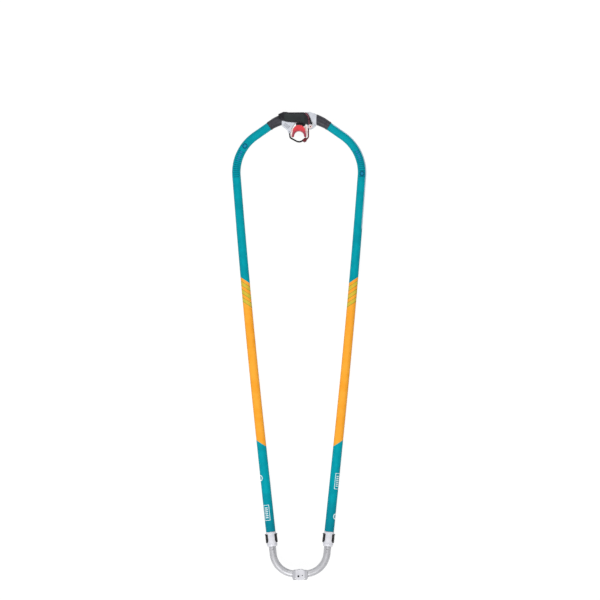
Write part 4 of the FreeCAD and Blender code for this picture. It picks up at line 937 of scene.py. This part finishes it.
def lever_inlay(name, width, height):
    """A line along the lever's right side, down to its hook."""
    top = LEVER_HALF_HEIGHT
    stops = [(0.0245, 0.0810), (0.0318, 0.0725), (0.0350, 0.0600), (0.0358, 0.0420)]
    rows = []
    for number, (start, end) in enumerate(zip(stops, stops[1:])):
        rows.append(bar(f"{name}_{number}", start, end, width, top - 0.0004, top + height, 0.0003))
    return merged(name, rows)


def lever_pad(name):
    return slab(name, LEVER_PANEL, LEVER_HALF_HEIGHT - 0.0004, LEVER_HALF_HEIGHT + 0.0006, 0.0005)


def lever_ribs(name):
    """Finger ribs at the lever's tip."""
    rows = []
    top = LEVER_HALF_HEIGHT
    for number in range(5):
        x = -0.0700 + number * 0.0034
        start, end = (x, 0.0705 - number * 0.0022), (x - 0.0004, 0.0785)
        rows.append(bar(f"{name}_{number}", start, end, 0.0016, top - 0.0004, top + 0.0008, 0.0005))
    return merged(name, rows)


def lever_details():
    """On both faces of the lever: a raised pad, finger ribs and a maroon inlay with a painted pink highlight
    line down its middle.
    """
    pads = above_and_below("lever_pads", lever_pad)
    ribs = above_and_below("lever_ribs", lever_ribs)
    wide = above_and_below("lever_inlays", lambda name: lever_inlay(name, 0.0072, 0.0003))
    # Painted highlight: a narrow pink line down the middle of the maroon inlay.
    fine = above_and_below("lever_highlight_lines", lambda name: lever_inlay(name, 0.0022, 0.0007))
    piece(pads, "lever", SURFACES["lever_pad"])
    piece(ribs, "lever", SURFACES["lever_black"])
    piece(wide, "lever", SURFACES["inlay_dark"])
    piece(fine, "lever", SURFACES["inlay_pink"])


def knuckle_covers():
    """A thin pale cover over each of the lever's knuckles, with a dished rim round the pivot cap."""

    def cover(name):
        profile = [
            (0.0067, 0.0318), (0.0067, 0.0322), (0.0070, 0.0326),
            (0.0086, 0.0327), (0.0089, 0.0324), (0.0089, 0.0318),
        ]
        place = facing(Vector((*PIVOT, 0)), UP)
        return turned(name, profile, place, 60, looped=True)

    piece(above_and_below("knuckle_covers", cover), "lever", SURFACES["casing_white"])


def wedge_ribs():
    """Three moulded ribs along the slanted edge of the casing's wedge, above and below; their darker grey is
    painted shade along that edge.
    """

    def ribs(name):
        rows = []
        for number in range(3):
            shift = 0.0032 * number
            start = (-0.0555 + shift * 0.9, 0.0400 + shift)
            end = (-0.0385 + shift * 0.9, 0.0258 + shift)
            rows.append(bar(f"{name}_{number}", start, end, 0.0016, 0.0336, 0.0346, 0.0004))
        return merged(name, rows)

    piece(above_and_below("wedge_ribs", ribs), "root", SURFACES["rib_grey"])


def on_strap(angle):
    return Vector((math.cos(angle), math.sin(angle))) * STRAP_RADIUS


def strap_line_points():
    """The strap's middle line: from its anchor round a corner, then round the mast to its moulded end."""
    anchor, corner = Vector(ANCHOR), Vector(STRAP_CORNER)
    meets = math.atan2(corner.y, corner.x) + math.acos(STRAP_RADIUS / corner.length)
    tangent = on_strap(meets)
    back, ahead = (anchor - corner).normalized(), (tangent - corner).normalized()
    half = back.angle(ahead) / 2
    centre = corner + (back + ahead).normalized() * (STRAP_CORNER_RADIUS / math.sin(half))
    reach = STRAP_CORNER_RADIUS / math.tan(half)
    first = corner + back * reach - centre
    sweep = first.angle_signed(corner + ahead * reach - centre)
    points = [anchor.lerp(centre + first, 0.15 + 0.85 * step / 12) for step in range(12)]
    points += [centre + Matrix.Rotation(-sweep * step / 16, 2) @ first for step in range(16)]
    points += [(corner + ahead * reach).lerp(tangent, step / 12) for step in range(12)]
    points += [on_strap(meets + (STRAP_END_ANGLE - meets) * step / 70) for step in range(71)]
    return points


def strap_webbing():
    """The clamp strap: webbing with rolled edges, ribbed along its length, round the anchor pin."""
    line = strap_line_points()
    half, thick = STRAP_HALF_HEIGHT, STRAP_THICKNESS / 2
    rolled = 0.0009
    section = []
    for step in range(6):
        angle = math.pi / 2 * step / 5
        section.append((rolled - half - rolled * math.cos(angle), thick - rolled + rolled * math.sin(angle)))
    columns = 52
    for step in range(1, columns):
        level = (half - rolled) * (2 * step / columns - 1)
        section.append((level, thick - 0.0001 + 0.0001 * math.cos(level * 2 * math.pi / 0.0035)))
    section += [(-z, t) for z, t in reversed(section[:6])]
    outline = section + [(z, -t) for z, t in reversed(section)]
    rings, along = [], []
    done = 0.0
    for number, point in enumerate(line):
        back = line[max(number - 1, 0)]
        ahead = line[min(number + 1, len(line) - 1)]
        done += (point - back).length
        run = (ahead - back).normalized()
        across = Vector((-run.y, run.x))
        rings.append([(*(point + across * t), z) for z, t in outline])
        along += [done] * len(outline)
    mesh = skin("strap_webbing", rings)
    store(mesh, "along", along)
    eye = facing(Vector((*ANCHOR, 0)), UP)
    loop = [(0.0021, -half), (0.0046, -half), (0.0046, half), (0.0021, half)]
    ring_mesh = turned("strap_eye", loop, eye, 40, looped=True)
    piece(ring_mesh, "strap", SURFACES["liner_black"])
    piece(mesh, "strap", SURFACES["strap_black"], ["clamp_strap"])


STITCH = [(0.0001, 0), (0.0004, 0.0004), (0.0004, 0.0018), (0.0001, 0.0022)]


def strap_stitches():
    """Two rows of stitches across the strap beside its eye, on both faces."""
    line = strap_line_points()
    stitches = []
    for row, number in enumerate((4, 6)):
        point, ahead = line[number], line[number + 1]
        run = (ahead - point).normalized()
        across = Vector((-run.y, run.x))
        for step in range(12):
            low = -0.0185 + 0.0032 * step
            for way in (1, -1):
                at = point + across * way * (STRAP_THICKNESS / 2 - 0.0001)
                place = Matrix.Translation((*at, low))
                rings = [circle(r, z, 8, place) for r, z in STITCH]
                stitches.append(skin(f"stitch_{row}_{step}_{way}", rings))
    piece(merged("strap_stitches", stitches), "strap", SURFACES["sleeve_black"])


def strap_rivets():
    """Domed rivet heads on the outer face of the strap's moulded end."""
    along = Vector((math.cos(RIVET_ANGLE), math.sin(RIVET_ANGLE), 0))
    heads = []
    for level in (-0.017, 0.017):
        place = facing(along * RIVET_FAR_END + UP * level, along)
        dome = [(0.0026, -0.0008), (0.0026, 0.0), (0.0023, 0.0005), (0.0015, 0.0009), (0.0005, 0.001)]
        heads.append(turned(f"rivet_{level}", dome, place, 28))
    piece(merged("rivet_heads", heads), "strap", SURFACES["steel"])


def pivot_screws():
    """The lever's pivot screws: a shank in each ear, and a stud with a six-sided socket in the cap."""
    shank = [
        (0.003, 0.016), (0.003, 0.0322), (0.0021, 0.0323),
        (0.0021, 0.0337), (0.0019, 0.034), (0.0013, 0.0341),
    ]
    socket = [(0.0012, 0.034), (0.0011, 0.0328), (0.0004, 0.0327)]
    screws = []
    for way in (1, -1):
        place = facing(Vector((*PIVOT, 0)), (0, 0, way))
        rings = [circle(r, z, 36, place) for r, z in shank]
        rings += [circle(r, z, 36, place, 6) for r, z in socket]
        screws.append(skin(f"pivot_{way}", rings))
    piece(merged("pivot_sockets", screws), "root", SURFACES["strap_maroon"], ["lever_pivot_screws"])


# ---------------------------------------------------------------- collars and clips


def collar_details(name):
    """A knurled front ring and a raised rear band on the collar."""
    place = leg_frame(name, 0)
    rings = []
    teeth = 60
    for station, depth in ((0.3744, 0), (0.3747, 1), (0.3773, 1), (0.3776, 0)):
        ring = []
        for number in range(teeth * 4):
            angle = 2 * math.pi * number / (teeth * 4)
            tooth = 0.5 + 0.5 * math.cos(angle * teeth)
            radius = 0.0176 + depth * (0.0003 + 0.0003 * tooth)
            ring.append(place @ Vector((radius * math.cos(angle), radius * math.sin(angle), station)))
        rings.append(ring)
    knurl = skin(f"{name}_collar_knurl", rings, capped=False)
    piece(knurl, "root", SURFACES["collar_white"])
    rear = [(0.0180, 0.4158), (0.0190, 0.4162), (0.0191, 0.4170), (0.0190, 0.4178), (0.0180, 0.4182)]
    band = turned(f"{name}_collar_band", rear, place, 72, capped=False)
    piece(band, "root", SURFACES["collar_white"])


# A clip rib's section: place along the leg, and height as a share of its lift, or metres below its foot.
CLIP_RIB = [
    (-0.0007, -0.0003), (-0.0006, 0.6), (-0.0002, 1.0),
    (0.0002, 1.0), (0.0006, 0.6), (0.0007, -0.0003),
]


def clip_ribs(name, clip, hand):
    """Finger ribs across the free end of a clip."""
    place = leg_frame(name, 0)
    rows = []
    for number in range(5):
        station = 0.3960 + 0.0028 * number
        half_turn = math.radians(30)
        rings = []
        for step in range(13):
            angle = -half_turn + 2 * half_turn * step / 12
            lift = 0.0006 * math.cos(math.pi / 2 * (abs(angle) / half_turn) ** 3)
            ring = []
            for width, height in CLIP_RIB:
                reach = CLIP_RADIUS + (height * lift if height > 0 else height)
                point = Vector((hand * reach * math.cos(angle), reach * math.sin(angle), station + width))
                ring.append(place @ point)
            rings.append(ring)
        rows.append(skin(f"{name}_{clip}_rib_{number}", rings))
    mesh = merged(f"{name}_{clip}_clip_ribs", rows)
    piece(mesh, f"{name}_{clip}_clip", SURFACES["clip_black"])


# ---------------------------------------------------------------- the tail's end


def fitting_bolts():
    heads = []
    for x, y, radius in ((-0.006, -1.5725, 0.0036), (0.008, -1.570, 0.002)):
        for way in (1, -1):
            origin = (x, y, way * FITTING_SCREW_SEAT)
            heads.append(screw_head(f"fit_{x}_{way}", origin, (0, 0, way), radius - 0.0001, 0.0026, 0.56))
    piece(merged("fitting_bolts", heads), "tail_end", SURFACES["liner_black"], ["fitting_screws"])


def eye_rims():
    """A raised rim round each outhaul eye, above and below."""
    profile = [
        (0.0025, -0.0006), (0.0025, 0.0001), (0.0028, 0.0006),
        (0.0033, 0.0006), (0.0037, 0.0), (0.0037, -0.0006),
    ]
    rims = []
    for side in (-1, 1):
        for way in (1, -1):
            place = facing(Vector((side * 0.017, EYE_Y, way * FITTING_TOP)), (0, 0, way))
            rims.append(turned(f"rim_{side}_{way}", profile, place, 36, looped=True))
    piece(merged("eye_rims", rims), "tail_end", SURFACES["casing_grey"])


def sheave():
    """The grooved roller."""
    place = facing(Vector((0, EYE_Y, 0)), UP)
    profile = [
        (0.00126, -0.0046), (0.0034, -0.0046), (0.0036, -0.0042), (0.0036, -0.0034), (0.0026, -0.0014),
        (0.0024, 0.0), (0.0026, 0.0014), (0.0036, 0.0034), (0.0036, 0.0042), (0.0034, 0.0046),
        (0.00126, 0.0046),
    ]
    mesh = turned("roller_sheave", profile, place, 40, looped=True)
    piece(mesh, "roller", SURFACES["liner_black"], ["outhaul_roller"])


# ---------------------------------------------------------------- floor, light and camera


def floor():
    """A plain white floor just under the part."""
    mesh = bpy.data.meshes.new("floor")
    half = 12.0
    low = CAD_BOX[0].z - 0.001
    corners = [(-half, -half, low), (half, -half, low), (half, half, low), (-half, half, low)]
    mesh.from_pydata(corners, [], [(0, 1, 2, 3)])
    thing = bpy.data.objects.new("floor", mesh)
    bpy.context.scene.collection.objects.link(thing)
    surface = Surface("floor_white", shade(90, 90, 90), 0.9, Specular_IOR_Level=0.0)
    surface.put("Emission Color", (1, 1, 1, 1))
    surface.put("Emission Strength", 0.94)
    mesh.materials.append(surface.material)


def area_light(name, place, target, size, power):
    data = bpy.data.lights.new(name, "AREA")
    data.shape = "RECTANGLE"
    data.size, data.size_y = size
    data.energy = power
    thing = bpy.data.objects.new(name, data)
    bpy.context.scene.collection.objects.link(thing)
    thing.location = place
    thing.rotation_mode = "QUATERNION"
    thing.rotation_quaternion = (Vector(target) - Vector(place)).to_track_quat("-Z", "Y")


def lights():
    middle = (CAD_BOX[0] + CAD_BOX[1]) / 2
    world = bpy.data.worlds.new("studio")
    bpy.context.scene.world = world
    world.use_nodes = True
    back = world.node_tree.nodes["Background"]
    back.inputs["Color"].default_value = (1, 1, 1, 1)
    back.inputs["Strength"].default_value = 0.18
    area_light("front_box", (middle.x, middle.y + 3.75, 4.5), middle, (2.4, 1.6), 160)
    area_light("rear_box", (middle.x - 1.0, middle.y - 3.75, 4.5), middle, (2.4, 1.6), 260)


# The view: straight down, over a point near the part's middle. Lens and sensor are in millimetres.
VIEW_POINT = (0.0020, -0.5856)
VIEW_FIELD = 2.145
LENS = 400.0
SENSOR = 36.0
ROLL = math.radians(-0.13)


def camera():
    data = bpy.data.cameras.new("camera")
    data.lens = LENS
    data.sensor_width = SENSOR
    data.clip_end = 50
    thing = bpy.data.objects.new("camera", data)
    bpy.context.scene.collection.objects.link(thing)
    thing.location = (*VIEW_POINT, VIEW_FIELD * LENS / SENSOR)
    thing.rotation_euler = (0, 0, ROLL)
    bpy.context.scene.camera = thing


bpy.context.scene.view_settings.view_transform = "Standard"
dress_nodes()
for side_name in SIDES:
    foam_grip(side_name)
    front_sleeve(side_name)
    collar_details(side_name)
    for clip_name, clip_hand in CLIP_SIDES.items():
        clip_ribs(side_name, clip_name, clip_hand)
mast_jaw()
head_screws()
jaw_screws()
lever_details()
knuckle_covers()
wedge_ribs()
strap_webbing()
strap_stitches()
strap_rivets()
pivot_screws()
fitting_bolts()
eye_rims()
sheave()
floor()
lights()
camera()
